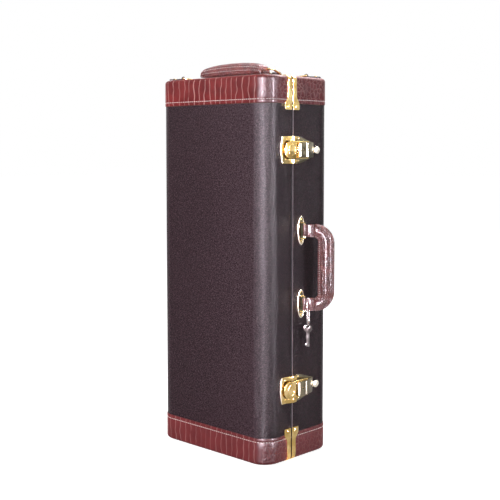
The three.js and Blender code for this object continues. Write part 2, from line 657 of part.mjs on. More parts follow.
function handlePlate(zc) {
  const oval = new THREE.Shape();
  oval.absellipse(sideHandle.y, zc, staple.plateWidth / 2, staple.plateLength / 2, 0, 2 * Math.PI);
  const plateShape = new THREE.Shape(oval.getPoints(flatCounts.oval));
  const plate = slabYZ(plateShape, side + gap, side + gap + staple.plateThick);
  const legs = [-1, 1].map((way) => rod(staple.wire, [side + gap + staple.plateThick / 2, sideHandle.y,
    zc + way * staple.half], [barX + staple.wire, sideHandle.y, zc + way * staple.half], flatCounts.leg));
  const bar = rod(staple.wire, [barX, sideHandle.y, zc - staple.half],
    [barX, sideHandle.y, zc + staple.half], flatCounts.leg);
  const rivets = [-1, 1].map((way) => dome([side + gap + staple.plateThick, sideHandle.y,
    zc + way * staple.plateLength * plateShares.rivet], [1, 0, 0]));
  return join(plate, ...legs, bar, ...rivets);
}

const swing = THREE.MathUtils.degToRad(sideHandle.swing);
const handleAxes = { out: new THREE.Vector3(Math.cos(swing), Math.sin(swing), 0),
  across: new THREE.Vector3(-Math.sin(swing), Math.cos(swing), 0), up: new THREE.Vector3(0, 0, 1) };
const handlePlace = new THREE.Matrix4().makeBasis(handleAxes.out, handleAxes.across, handleAxes.up)
  .setPosition(barX, sideHandle.y, 0);

function handleBand(zc) {
  const eye = rod(band.eyeRadius, [0, 0, zc - band.half + gap], [0, 0, zc + band.half - gap],
    flatCounts.rod);
  const tongueHalf = band.eyeRadius * bandShares.tongue;
  const tongue = block(0, band.start + gap, -tongueHalf, tongueHalf,
    zc - band.half + gap, zc + band.half - gap);
  const ferrule = slab(rectangle(-band.halfThick, band.halfThick, zc - band.half, zc + band.half,
    band.halfThick * bandShares.corner), band.length, basis([0, 1, 0], [0, 0, 1], [1, 0, 0]), band.start);
  const bore = rod(band.eyeBore, [0, 0, zc - far], [0, 0, zc + far], flatCounts.rod);
  return cut(join(eye, tongue, ferrule), bore).transform(handlePlace.elements);
}

function gripSection(centre, inPlane, half, halfThick, steps = flatCounts.grip) {
  return Array.from({ length: steps }, (_, k) => {
    const angle = (2 * k + 1) / steps * Math.PI;
    return centre.clone().addScaledVector(inPlane, half * Math.cos(angle))
      .add(new THREE.Vector3(0, halfThick * Math.sin(angle), 0));
  });
}

function sideGrip() {
  const rings = [];
  const start = band.start + band.length + gap;
  const endZ = sideHandle.span / 2;
  const route = [];
  route.push([start, endZ, Math.PI / 2, 0]);
  route.push([sideHandle.reach - sideHandle.bend, endZ, Math.PI / 2, sideGripShares.start]);
  for (let i = 1; i <= turnCounts.gripBend; i += 1) {
    const angle = Math.PI / 2 * (1 - i / turnCounts.gripBend);
    route.push([sideHandle.reach - sideHandle.bend * (1 - Math.cos(angle)),
      endZ - sideHandle.bend * (1 - Math.sin(angle)), angle,
      THREE.MathUtils.lerp(sideGripShares.start, 1, i / turnCounts.gripBend)]);
  }
  const mirrored = route.map(([r, z, angle, share]) => [r, -z, -angle, share]).reverse();
  for (const [r, z, angle, share] of [...route, ...mirrored]) {
    const half = THREE.MathUtils.lerp(band.half - sideHandle.endTaper, sideHandle.half, share);
    const thick = THREE.MathUtils.lerp(band.halfThick, sideHandle.halfThick, share);
    rings.push(gripSection(new THREE.Vector3(r, 0, handleMiddle + z),
      new THREE.Vector3(Math.cos(angle), 0, Math.sin(angle)), half, thick));
  }
  return loft(rings).transform(handlePlace.elements);
}

for (const [name, zc] of Object.entries(handleEnds)) {
  piece(`handle_plate_${name}`, handlePlate(zc), brass);
  piece(`side_handle_band_${name}`, handleBand(zc), brass);
}
piece('side_handle_grip', sideGrip(), leather);

// Key loop over the neck of the handle's lower end, with two keys, drawn in the handle's own frame
const neckTop = handleEnds.lower + band.half - gap;
const loopTop = neckTop + gap + keyLoop.wire;
const loopHalf = keyLoop.width / 2;
const loopAcross = new THREE.Vector3(Math.sin(THREE.MathUtils.degToRad(keyLoop.skew)),
  Math.cos(THREE.MathUtils.degToRad(keyLoop.skew)), 0);
const loopRing = [loopTop - loopHalf, loopTop - keyLoop.height + loopHalf].flatMap((centre, half) =>
  Array.from({ length: turnCounts.keyLoop + 1 }, (_, i) => {
    const angle = (half + i / turnCounts.keyLoop) * Math.PI;
    return new THREE.Vector3(keyLoop.out, 0, centre + loopHalf * Math.sin(angle))
      .addScaledVector(loopAcross, loopHalf * Math.cos(angle));
  }));
piece('key_loop', wireLoop(loopRing, keyLoop.wire).transform(handlePlace.elements), steel);

function keyBody(offset) {
  const top = loopTop - keyLoop.height + 2 * gap + keyLoop.wire;
  const holeDepth = key.bow * keyShares.hole;
  const centre = top - key.hole + holeDepth - key.bow;
  const bow = new THREE.Shape();
  bow.absellipse(keyLoop.out, centre, key.bow, key.bow, 0, 2 * Math.PI);
  const blank = slabXZ(new THREE.Shape(bow.getPoints(flatCounts.bow)), -key.thick / 2, key.thick / 2);
  const tip = centre + key.bow - key.length;
  const shank = block(keyLoop.out - key.shank, keyLoop.out + key.shank, -key.thick / 2, key.thick / 2,
    tip, centre);
  const bit = block(keyLoop.out - key.shank - key.thick, keyLoop.out, -key.thick / 2, key.thick / 2,
    tip + key.thick, tip + (1 + keyShares.bit) * key.thick);
  const eye = rod(key.hole, [keyLoop.out, -far, top - key.hole], [keyLoop.out, far, top - key.hole],
    flatCounts.keyEye);
  const slid = new THREE.Matrix4().makeTranslation(0, offset, 0);
  return cut(join(blank, shank, bit), eye).transform(handlePlace.clone().multiply(slid).elements);
}

piece('key_front', keyBody(-key.pitch), steel);
piece('key_rear', keyBody(key.pitch), steel);

// Top handle: wire rings in leather tabs, and a flat padded grip lying forward
const pivotZ = box.height + topRing.out;
const ringCentre = topGrip.length / 2 + topRing.outset;
const leanAngle = THREE.MathUtils.degToRad(topRing.lean);
const leanDirection = new THREE.Vector3(0, -Math.sin(leanAngle), Math.cos(leanAngle));
const alongX = new THREE.Vector3(1, 0, 0);

function topRingBody(way, wire) {
  const origin = [way * ringCentre, topGrip.y, pivotZ];
  return wireLoop(loopRoute(origin, alongX, leanDirection, topRing.width, topRing.reach,
    topRing.wire * topRingShares.corner), wire);
}

function topTabBody(way) {
  const eyeOuter = topRing.wire + topRing.play + topTab.eyeWall;
  const x0 = way * ringCentre - topTab.width / 2;
  const eye = rod(eyeOuter, [x0, topGrip.y, pivotZ], [x0 + topTab.width, topGrip.y, pivotZ], flatCounts.rod);
  const tail = slabYZ(polygon([[topGrip.y, box.height + gap], [topGrip.y + topTab.tail, box.height + gap],
    [topGrip.y + topTab.tail, box.height + gap + topTab.thick * topTabShares.end],
    [topGrip.y + eyeOuter, box.height + gap + topTab.thick], [topGrip.y, pivotZ]]), x0, x0 + topTab.width);
  const roof = block(-far, far, -far, far, box.height + gap, far);
  const rivetAt = dome([way * ringCentre, topGrip.y + topTab.tail * topTabShares.rivet,
    box.height + gap + topTab.thick * topTabShares.rivet], [0, 0, 1]);
  const bore = rod(topRing.wire + topRing.play, [x0 - overrun, topGrip.y, pivotZ],
    [x0 + topTab.width + overrun, topGrip.y, pivotZ], flatCounts.rod);
  return cut(join(eye, tail, rivetAt).intersect(roof), bore);
}

function topGripBody() {
  const rings = [];
  const bottom = box.height + topGrip.clearance;
  for (let i = 0; i <= turnCounts.topGrip; i += 1) {
    const share = i / turnCounts.topGrip * 2 - 1;
    const bulge = Math.sqrt(Math.max(1 - share * share, 0));
    const height = THREE.MathUtils.lerp(topGrip.endHeight, topGrip.midHeight, bulge);
    const halfWidth = topGrip.width / 2;
    const ring = [];
    for (const [uShare, vShare] of gripShares) {
      ring.push(new THREE.Vector3(share * topGrip.length / 2, topGrip.y - topGrip.lean + uShare * halfWidth,
        bottom + vShare * height));
    }
    rings.push(ring);
  }
  return loft(rings);
}

let topGripSolid = topGripBody();
for (const [name, way] of [['left', -1], ['right', 1]]) {
  piece(`top_handle_tab_${name}`, topTabBody(way), leather);
  piece(`top_handle_ring_${name}`, topRingBody(way, topRing.wire), brass);
  topGripSolid = cut(topGripSolid, topRingBody(way, topRing.wire + gap));
}
piece('top_handle_grip', topGripSolid, leather);

// D-rings in leather tabs: two on the top end at opposite corners, two low on the back
function tabAndRing(place, name, droop) {
  const eyeOuter = dRing.wire + dRing.play + ringTab.eyeWall;
  const height = gap + eyeOuter;
  const half = ringTab.width / 2 - dRing.wire * 2;
  const eye = rod(eyeOuter, [-half, 0, height], [half, 0, height], flatCounts.rod);
  const tailTop = gap + ringTab.thick * ringTabShares.end;
  const tail = slabYZ(polygon([[0, gap], [-ringTab.tail, gap], [-ringTab.tail, tailTop],
    [-eyeOuter, gap + ringTab.thick], [0, height]]), -half, half);
  const stud = dome([0, -ringTab.tail * ringTabShares.rivet, tailTop], [0, 0, 1]);
  const bore = rod(dRing.wire + dRing.play, [-half - overrun, 0, height], [half + overrun, 0, height],
    flatCounts.rod);
  const roof = block(-far, far, -far, far, gap, far);
  const tab = cut(join(eye, tail, stud).intersect(roof), bore);
  piece(`ring_tab_${name}`, tab.transform(place.elements), leather);
  const along = new THREE.Vector3(0, Math.cos(droop), -Math.sin(droop));
  const ring = wireLoop(loopRoute([0, 0, height], alongX, along, dRing.width, dRing.reach,
    dRing.width * dRingShares.corner), dRing.wire);
  piece(`d_ring_${name}`, ring.transform(place.elements), brass);
}

const diagonal = Math.SQRT1_2;
for (const [name, way] of [['lid', -1], ['base', 1]]) {
  const across = new THREE.Vector3(-way * diagonal, way * diagonal, 0);
  const inward = new THREE.Vector3(-way * diagonal, -way * diagonal, 0);
  const cornerX = side - box.cornerRadius + ringTab.inset;
  const cornerY = back - box.cornerRadius + ringTab.inset;
  const place = new THREE.Matrix4().makeBasis(across, inward, new THREE.Vector3(0, 0, 1));
  place.setPosition(way * (cornerX - ringTab.tail * diagonal), way * (cornerY - ringTab.tail * diagonal),
    box.height);
  tabAndRing(place, name, THREE.MathUtils.degToRad(dRing.droop));
}
for (const [name, way] of [['low_left', -1], ['low_right', 1]]) {
  const turned = new THREE.Matrix4().makeBasis(new THREE.Vector3(1, 0, 0), new THREE.Vector3(0, 0, -1),
    new THREE.Vector3(0, 1, 0));
  turned.setPosition(way * (side - lowTab.inset), back, lowTab.height);
  tabAndRing(turned, name, 0);
}

export default part;
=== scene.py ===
"""A hard saxophone backpack case: covering, leather end caps, brass fittings and plush lining."""
import json
import math

import bmesh
import bpy
import numpy as np
from mathutils import Matrix, Vector


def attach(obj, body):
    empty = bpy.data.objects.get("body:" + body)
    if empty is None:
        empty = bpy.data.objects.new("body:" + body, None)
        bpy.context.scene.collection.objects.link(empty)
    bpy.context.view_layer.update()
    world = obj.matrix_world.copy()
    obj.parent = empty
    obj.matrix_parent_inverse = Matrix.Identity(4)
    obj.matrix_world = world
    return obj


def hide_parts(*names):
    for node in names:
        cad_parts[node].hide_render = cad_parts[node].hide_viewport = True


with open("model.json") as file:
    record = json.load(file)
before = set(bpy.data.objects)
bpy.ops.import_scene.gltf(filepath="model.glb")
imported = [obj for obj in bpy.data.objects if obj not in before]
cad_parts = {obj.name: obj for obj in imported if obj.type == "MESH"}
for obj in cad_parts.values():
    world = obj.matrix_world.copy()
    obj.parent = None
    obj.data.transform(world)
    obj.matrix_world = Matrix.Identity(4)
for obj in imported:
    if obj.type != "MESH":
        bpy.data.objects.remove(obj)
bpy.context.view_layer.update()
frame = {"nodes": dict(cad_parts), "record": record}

MM = 0.001

# Camera, in metres and degrees
CAMERA = {"place": (1.15654, -1.17943, 0.50496), "tilt": 86.0, "azimuth": 44.07, "lens": 70.10,
          "sensor": 36.0, "shift": -0.067, "near": 0.05}

# Case sizes, in millimetres: half width, half depth, height and corner radius
SIDE, BACK, HEIGHT, CORNER = 126.0, 80.0, 620.0, 30.0
SEAM = {"lid": -21.0, "base": -15.7}
WAY = {"lid": -1, "base": 1}
CAP = 44.0
CAP_SEWING = 6.0
END_ROUNDING = 6.0
GAP = 0.3
BEAD_MIDDLE = -17.5
FACING = {"lid": -36.3, "base": -15.7}
LINING_BACK = 73.3

# Fittings, in millimetres and degrees
LATCH_HEIGHT = {"upper": 502.5, "lower": 117.5}
DISH_HEIGHT = {"upper": 373.0, "lower": 254.0}
HANDLE_AXIS = (136.0, 2.0)
HANDLE_MIDDLE = 313.5
HANDLE_SWING = 40.0
TOP_RING_PLACE = 73.0
TOP_HANDLE_Y = 2.0

camera = bpy.data.objects.new("camera", bpy.data.cameras.new("camera"))
bpy.context.scene.collection.objects.link(camera)
camera.location = CAMERA["place"]
camera.rotation_euler = (math.radians(CAMERA["tilt"]), 0.0, math.radians(CAMERA["azimuth"]))
camera.data.lens = CAMERA["lens"]
camera.data.sensor_width = CAMERA["sensor"]
camera.data.shift_y = CAMERA["shift"]
camera.data.clip_start = CAMERA["near"]
bpy.context.scene.camera = camera


# Shader graph
class Value:
    """A shader output; arithmetic on it adds math nodes."""

    def __init__(self, graph, socket):
        self.graph, self.socket = graph, socket

    def math(self, operation, *others):
        return self.graph.node("ShaderNodeMath", [self, *others], operation=operation)

    def __add__(self, other):
        return self.math("ADD", other)

    def __sub__(self, other):
        return self.math("SUBTRACT", other)

    def __mul__(self, other):
        return self.math("MULTIPLY", other)

    def __rsub__(self, other):
        return self.graph.node("ShaderNodeMath", [other, self], operation="SUBTRACT")

    def step(self, low, high):
        """Smoothly 0 to 1 as the value goes from low to high."""
        return self.graph.node("ShaderNodeMapRange", [self, low, high, 0.0, 1.0],
                               interpolation_type="SMOOTHSTEP")


class Graph:
    """A material under construction."""

    def __init__(self, name):
        self.material = bpy.data.materials.new(name)
        self.material.use_nodes = True
        self.tree = self.material.node_tree
        self.shader = self.tree.nodes["Principled BSDF"]

    def put(self, socket, value):
        """Link a value to a socket, or set a constant on it."""
        if isinstance(value, Value):
            self.tree.links.new(value.socket, socket)
        else:
            socket.default_value = value

    def node(self, kind, inputs=(), output=0, **settings):
        made = self.tree.nodes.new(kind)
        for key, value in settings.items():
            setattr(made, key, value)
        pairs = inputs.items() if isinstance(inputs, dict) else enumerate(inputs)
        for key, value in pairs:
            self.put(made.inputs[key], value)
        return Value(self, made.outputs[output])

    def stretch(self, where, scale):
        """A vector multiplied axis by axis."""
        return self.node("ShaderNodeVectorMath", [where, scale], operation="MULTIPLY")

    def place(self, scale=(1, 1, 1)):
        """Object coordinates, stretched."""
        return self.stretch(self.node("ShaderNodeTexCoord", output="Object"), scale)

    def axes(self):
        """Object coordinates apart: x, y and z in metres."""
        where = self.node("ShaderNodeTexCoord", output="Object")
        return [self.node("ShaderNodeSeparateXYZ", [where], output=i) for i in range(3)]

    def noise(self, scale, where=None, detail=2.0, rough=0.5, output="Fac"):
        return self.node("ShaderNodeTexNoise", {"Vector": where or self.place(), "Scale": scale,
                                                "Detail": detail, "Roughness": rough}, output=output)

    def cells(self, scale, where=None, feature="DISTANCE_TO_EDGE", random=1.0):
        return self.node("ShaderNodeTexVoronoi", {"Vector": where or self.place(), "Scale": scale,
                                                  "Randomness": random}, feature=feature)

    def warp(self, amount, scale, where=None, detail=2.0):
        """Coordinates pushed about by noise, amount in metres."""
        where = where or self.place()
        cloud = self.noise(scale, where, detail, output="Color")
        push = self.node("ShaderNodeVectorMath", [cloud, (0.5, 0.5, 0.5)], operation="SUBTRACT")
        push = self.stretch(push, (amount,) * 3)
        return self.node("ShaderNodeVectorMath", [where, push], operation="ADD")

    def mix(self, factor, low, high):
        """Colours mixed by a factor."""
        made = self.tree.nodes.new("ShaderNodeMix")
        made.data_type = "RGBA"
        for key, value in ((0, factor), (6, low), (7, high)):
            self.put(made.inputs[key], value)
        return Value(self, made.outputs[2])

    def blend(self, factor, low, high):
        """Numbers mixed by a factor."""
        return self.node("ShaderNodeMix", {0: factor, 2: low, 3: high})

    def bump(self, height, distance, strength=1.0, normal=None):
        inputs = {"Height": height, "Distance": distance, "Strength": strength}
        if normal:
            inputs["Normal"] = normal
        return self.node("ShaderNodeBump", inputs)

    def finish(self, **inputs):
        for key, value in inputs.items():
            self.put(self.shader.inputs[key.replace("_", " ")], value)
        return self.material


def rgb(*screen):
    """A colour given in screen values from 0 to 255."""
    linear = [((c / 255 + 0.055) / 1.055) ** 2.4 if c > 10 else c / 255 / 12.92 for c in screen]
    return (*linear, 1.0)


def vinyl_material():
    """Grained vinyl with pale flecks, darkened in the grain's creases as painted shade; painted shade
    towards the hinges, on the latch side and in the seam, and painted light on the broad face towards the
    latch side.
    """
    g = Graph("vinyl")
    x, y, _ = g.axes()
    grain = g.cells(900, g.warp(0.0008, 700)).step(0.0, 0.35)
    fleck = g.noise(400, detail=4, rough=0.85)
    flecks = fleck.step(0.36, 0.64)
    cloud = g.noise(7, detail=3).step(0.3, 0.7)
    # Painted shade: the broad face grows darker towards the hinge side.
    hinge_shade = x.step(0.09, -0.13)
    # Painted light: the broad face grows lighter towards the latch side.
    latch_light = x.step(-0.02, 0.11) * (1.0 - x.step(0.100, 0.108))
    # Painted shade: the narrow latch side is much darker.
    latch_side_shade = x.step(0.118, 0.1255)
    # Painted shade: a near black, matt line in the gap of the seam.
    seam = y.step(-0.0218, -0.0206) * (1.0 - y.step(-0.0175, -0.0165))
    colour = g.mix(flecks, rgb(44, 25, 33), rgb(146, 112, 124))
    colour = g.mix(cloud * 0.2, colour, rgb(122, 90, 100))
    colour = g.mix(hinge_shade * 0.45, colour, rgb(56, 31, 40))
    colour = g.mix(latch_light * 0.16, colour, rgb(168, 142, 154))
    colour = g.mix(latch_side_shade * 0.85, colour, g.mix(flecks, rgb(12, 3, 8), rgb(56, 30, 40)))
    # Painted shade: darker in the creases of the grain.
    colour = g.mix(grain, rgb(32, 17, 23), colour)
    colour = g.mix(seam, colour, rgb(6, 2, 4))
    normal = g.bump(grain, 0.00016, 0.9, g.bump(g.noise(24, detail=1), 0.0012, 0.1))
    rough = g.blend(seam, g.blend(fleck, 0.17, 0.31), 1.0)
    return g.finish(Base_Color=colour, Roughness=rough, Normal=normal, IOR=1.18)


def croc_material():
    """Embossed leather: upright cracks on the broad faces, small cells on the sides, large on the ends; its
    cracks are coloured pale as a painted highlight, and its sides darker as painted shade.
    """
    g = Graph("crocodile_leather")
    x, _, z = g.axes()
    side = x.math("ABSOLUTE").step(0.112, 0.122)
    end = (z - 0.31).math("ABSOLUTE").step(0.3065, 0.3095)
    low = z.step(0.10, 0.03)
    spacing = g.noise(26, g.place((1.0, 0.0, 0.0)), detail=1.0) * 0.9
    lines = (x * 80.0 + spacing + g.noise(46, detail=1.0) * 0.75).math("PINGPONG", 0.5)
    side_cells = g.cells(150, g.stretch(g.warp(0.006, 90, detail=1.0), (0.6, 1.0, 0.8)))
    end_cells = g.cells(95, g.stretch(g.warp(0.011, 42, detail=1.0), (1.0, 0.75, 0.0)))
    cells = g.blend(end, g.blend(side, lines * 0.7, side_cells), end_cells)
    crack = 1.0 - cells.step(0.02, g.blend(side, 0.065, 0.09))
    hump = cells.step(0.0, 0.33)
    tone = g.noise(38, detail=3)
    pore = g.cells(1100, feature="F1").step(0.0, 0.5)
    base = g.mix(tone.step(0.3, 0.7), rgb(112, 28, 29), rgb(142, 44, 43))
    # Painted shade: darker on the narrow sides.
    base = g.mix(side * 0.45, base, rgb(96, 22, 28))
    base = g.mix(low * 0.6, base, rgb(132, 54, 57))
    # Painted highlight: the cracks are coloured pale, in patches of uneven strength.
    pale = g.mix(g.noise(60, detail=1).step(0.2, 0.45), base, rgb(222, 164, 158))
    highlight_patches = g.noise(17, g.place((1.0, 1.0, 0.2)), detail=1.0).step(0.32, 0.58) * 0.66 + 0.34
    strength = g.blend(end, g.blend(side, 0.74, 0.46), 0.3) * highlight_patches * (1.0 - low * 0.45)
    normal = g.bump(pore, 0.00006, 0.5, g.bump(hump, 0.0007, 0.5))
    return g.finish(Base_Color=g.mix(crack * strength, base, pale), Roughness=g.blend(tone, 0.38, 0.52),
                    Normal=normal, Coat_Weight=g.blend(side, 0.03, 0.07), Coat_Roughness=0.18, IOR=1.22)


def leather_material(name, low, high, pebble_highlight=0.0):
    """Pebbled leather, darkened in its creases as painted shade; the last argument says how strongly a pale
    highlight is painted on the tops of its pebbles.
    """
    g = Graph(name)
    cells = g.cells(300, g.warp(0.0014, 420), random=0.9)
    tone = g.noise(70, detail=3)
    wrinkle = g.noise(150, g.place((1, 1, 0.8)), detail=3)
    hump = cells.step(0.0, 0.3)
    colour = g.mix(tone.step(0.3, 0.7), low, high)
    # Painted highlight: pale on the tops of the pebbles.
    colour = g.mix(cells.step(0.14, 0.34) * pebble_highlight, colour, rgb(226, 180, 184))
    # Painted shade: darker in the creases between the pebbles.
    colour = g.mix((1.0 - cells.step(0.0, 0.10)) * 0.55, colour, rgb(70, 26, 27))
    normal = g.bump(hump, 0.0018, 1.0, g.bump(wrinkle, 0.0012, 0.45))
    return g.finish(Base_Color=colour, Roughness=g.blend(tone, 0.24, 0.38), Normal=normal,
                    Coat_Weight=0.14, Coat_Roughness=0.16, IOR=1.4)


def metal_material(name, low, high, rough):
    """Bright metal, a little uneven in tone and polish."""
    g = Graph(name)
    smudge = g.noise(55, detail=4, rough=0.6)
    fine = g.noise(480, g.place((1, 1, 0.2)), detail=2)
    return g.finish(Base_Color=g.mix(smudge.step(0.35, 0.7), low, high), Metallic=1.0,
                    Roughness=g.blend(smudge, rough * 0.7, rough * 1.5),
                    Normal=g.bump(fine, 0.00006, 0.35, g.bump(smudge, 0.0006, 0.12)))


def velvet_material():
    """Plush with brushed patches and a soft sheen."""
    g = Graph("velvet")
    nap = g.noise(900, detail=2)
    brushed = g.noise(16, g.warp(0.03, 8), detail=3)
    colour = g.mix(brushed.step(0.35, 0.65), rgb(98, 26, 42), rgb(120, 36, 54))
    colour = g.mix(nap.step(0.4, 0.8) * 0.4, colour, rgb(150, 66, 82))
    g.shader.inputs["Sheen Weight"].default_value = 0.6
    g.shader.inputs["Sheen Roughness"].default_value = 0.4
    return g.finish(Base_Color=colour, Roughness=0.95, Normal=g.bump(nap, 0.0004, 0.6))


def plywood_material():
    """Pale wood with its plies in bands."""
    g = Graph("plywood")
    grain = g.noise(90, g.place((0.2, 1, 0.08)), detail=4)
    layers = {"Vector": g.place(), "Scale": 110.0, "Distortion": 0.6, "Detail": 2.0}
    ply = g.node("ShaderNodeTexWave", layers, wave_type="BANDS", bands_direction="X")
    colour = g.mix(grain.step(0.3, 0.7), rgb(188, 150, 104), rgb(214, 180, 132))
    colour = g.mix(ply * 0.35, colour, rgb(150, 112, 72))
    return g.finish(Base_Color=colour, Roughness=0.7, Normal=g.bump(grain, 0.0002, 0.4))


def thread_material():
    """Pale waxed thread."""
    g = Graph("thread")
    tone = g.noise(1500, detail=3)
    return g.finish(Base_Color=g.mix(tone.step(0.3, 0.7), rgb(232, 206, 200), rgb(250, 236, 230)),
                    Roughness=g.blend(tone, 0.64, 0.76), Normal=g.bump(tone, 0.0001, 0.5))


def bead_material():
    """A pale piping whose side towards the lid lies in shade."""
    g = Graph("beading")
    lit = g.axes()[1].step(-0.0178, -0.0170)
    rough = g.blend(lit, 1.0, g.blend(g.noise(300), 0.42, 0.54))
    return g.finish(Base_Color=g.mix(lit, rgb(10, 4, 7), rgb(204, 180, 192)), Roughness=rough, IOR=1.3)


VINYL = vinyl_material()
CROC = croc_material()
VELVET = velvet_material()
PLYWOOD = plywood_material()
BEAD = bead_material()
THREAD = thread_material()
GRIP = leather_material("grip_leather", rgb(116, 30, 24), rgb(174, 64, 52), 0.42)
TAB = leather_material("tab_leather", rgb(54, 18, 18), rgb(78, 30, 28))
BAND = leather_material("band_leather", rgb(142, 62, 58), rgb(190, 108, 102), 0.3)
BRASS = metal_material("brass", rgb(196, 166, 98), rgb(234, 210, 150), 0.12)
# Painted dark reflection: a darker copy of the brass for flat outward faces.
SHADED_BRASS = metal_material("shaded_brass", rgb(104, 97, 80), rgb(142, 134, 110), 0.16)
# Painted highlight: a pale copy of the brass for bright edges, bars, rims and thumb pieces.
HIGHLIGHT_BRASS = metal_material("highlight_brass", rgb(238, 230, 206), rgb(250, 246, 232), 0.22)
STEEL = metal_material("steel", rgb(168, 160, 156), rgb(200, 194, 190), 0.22)
KEY_STEEL = metal_material("key_steel", rgb(84, 78, 76), rgb(150, 146, 144), 0.16)
FINISH = {"vinyl": VINYL, "leather": TAB, "brass": BRASS, "steel": STEEL, "plywood": PLYWOOD,
          "velvet": VELVET, "beading": BEAD}

for entry in frame["record"]["subparts"]:
    cad = frame["nodes"][entry["node"]]
    # Painted shade: the lock barrels take the dark key steel, as the shade in their keyholes.
    barrel = entry["node"].startswith("lock_barrel")
    cad.data.materials.clear()
    cad.data.materials.append(KEY_STEEL if barrel else FINISH[entry["material_slot"]])


# Mesh building
def circle(count):
    """Angles all the way round."""
    return [math.tau * i / count for i in range(count)]


def quarter(count, first=0):
    """Angles over a quarter turn, from step first to step count."""
    return [math.pi / 2 * i / count for i in range(first, count + 1)]


class Shape:
    """Vertices in millimetres and faces, gathered before they become one piece."""

    def __init__(self):
        self.points, self.faces, self.marks = [], [], []

    def add(self, points, faces, mark=0):
        """Points with their faces; mark is the number of the faces' material."""
        first = len(self.points)
        self.points += [tuple(p) for p in points]
        self.faces += [[first + i for i in face] for face in faces]
        self.marks += [mark] * len(faces)
        return self

    def lid(self, loop):
        """One face over a closed loop of points."""
        return self.add(loop, [list(range(len(loop)))])

    def grid(self, rows, close_rows=False, close_columns=False, mark=0):
        """A skin over rows of equal length."""
        count, across = len(rows), len(rows[0])
        faces = []
        for i in range(count if close_rows else count - 1):
            for j in range(across if close_columns else across - 1):
                a, b = i * across, (i + 1) % count * across
                k = (j + 1) % across
                faces.append([a + j, a + k, b + k, b + j])
        return self.add([p for row in rows for p in row], faces, mark)

    def capped(self, rows):
        """A closed bar over rows that are closed loops."""
        return self.grid(rows, False, True).lid(rows[0]).lid(rows[-1])

    def tube(self, path, radius, sides, closed=False):
        """A round wire along a path; radius may be a list, one for each point."""
        path = [Vector(p) for p in path]
        count = len(path)
        tangents = []
        for i in range(count):
            before = path[i - 1] if closed or i else path[0]
            after = path[(i + 1) % count] if closed or i < count - 1 else path[-1]
            tangents.append((after - before).normalized())
        across = tangents[0].orthogonal().normalized()
        rows = []
        for i, (centre, along) in enumerate(zip(path, tangents)):
            across = (across - along * across.dot(along)).normalized()
            other = along.cross(across)
            r = radius[i] if isinstance(radius, list) else radius
            rows.append([centre + (across * math.cos(a) + other * math.sin(a)) * r for a in circle(sides)])
        if not closed:
            rows = [[path[0]] * sides, *rows, [path[-1]] * sides]
        return self.grid(rows, closed, True)

    def dome(self, centre, facing, radius, rise, mark=0):
        """A round rivet head standing on a face, a little let into it."""
        centre, facing = Vector(centre), Vector(facing).normalized()
        across = facing.orthogonal().normalized()
        other = facing.cross(across)
        profile_shares = [(0.0, -0.4), (1.0, -0.4), (1.0, 0.12), (0.93, 0.42), (0.74, 0.76), (0.42, 0.95),
                          (0.0, 1.0)]
        rows = []
        for out, up in profile_shares:
            middle = centre + facing * (rise * up)
            rows.append([middle + (across * math.cos(a) + other * math.sin(a)) * (radius * out)
                         for a in circle(20)])
        return self.grid(rows, False, True, mark)

    def moved(self, matrix):
        """The shape carried to a place."""
        self.points = [tuple(matrix @ Vector(p)) for p in self.points]
        return self

    def piece(self, name, body, slot, materials, stands_for=(), sharp=38.0):
        """The gathered faces as one object; sharp is the angle from which an edge stays hard."""
        mesh = bpy.data.meshes.new(name)
        mesh.from_pydata([tuple(c * MM for c in p) for p in self.points], [], self.faces)
        for material in materials if isinstance(materials, list) else [materials]:
            mesh.materials.append(material)
        for polygon, mark in zip(mesh.polygons, self.marks):
            polygon.material_index = mark
        merge = 0.005 * MM
        work = bmesh.new()
        work.from_mesh(mesh)
        bmesh.ops.remove_doubles(work, verts=work.verts, dist=merge)
        bmesh.ops.dissolve_degenerate(work, edges=work.edges, dist=merge)
        bmesh.ops.recalc_face_normals(work, faces=work.faces)
        work.to_mesh(mesh)
        work.free()
        return dressed(name, mesh, body, stands_for, sharp)


def dressed(name, mesh, body, stands_for, sharp):
    """An object for a finished mesh, riding its body and standing for its CAD nodes."""
    mesh.shade_smooth()
    mesh.set_sharp_from_angle(angle=math.radians(sharp))
    made = bpy.data.objects.new(name, mesh)
    bpy.context.scene.collection.objects.link(made)
    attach(made, body)
    if stands_for:
        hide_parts(*stands_for)
    return made


def node_body(node):
    """The body that a CAD node belongs to."""
    bodies = frame["record"]["behaviour"]["bodies"]
    return next(body for body, nodes in bodies.items() if node in nodes)


def refined(node, name, material, width):
    """A CAD fitting with its hard edges rounded by a bevel of the given width."""
    mesh = frame["nodes"][node].data.copy()
    mesh.name = name
    mesh.materials.clear()
    mesh.materials.append(material)
    work = bmesh.new()
    work.from_mesh(mesh)
    bmesh.ops.remove_doubles(work, verts=work.verts, dist=0.01 * MM)
    bmesh.ops.dissolve_limit(work, angle_limit=math.radians(1.0), verts=work.verts, edges=work.edges)
    hard_from = math.radians(30.0)
    hard = [e for e in work.edges if len(e.link_faces) == 2 and e.calc_face_angle() > hard_from]
    bmesh.ops.bevel(work, geom=hard, offset=width * MM, offset_type="OFFSET", segments=2, profile=0.6,
                    affect="EDGES", clamp_overlap=True)
    bmesh.ops.triangulate(work, faces=[f for f in work.faces if len(f.verts) > 4])
    work.to_mesh(mesh)
    work.free()
    return dressed(name, mesh, node_body(node), (node,), 50.0)


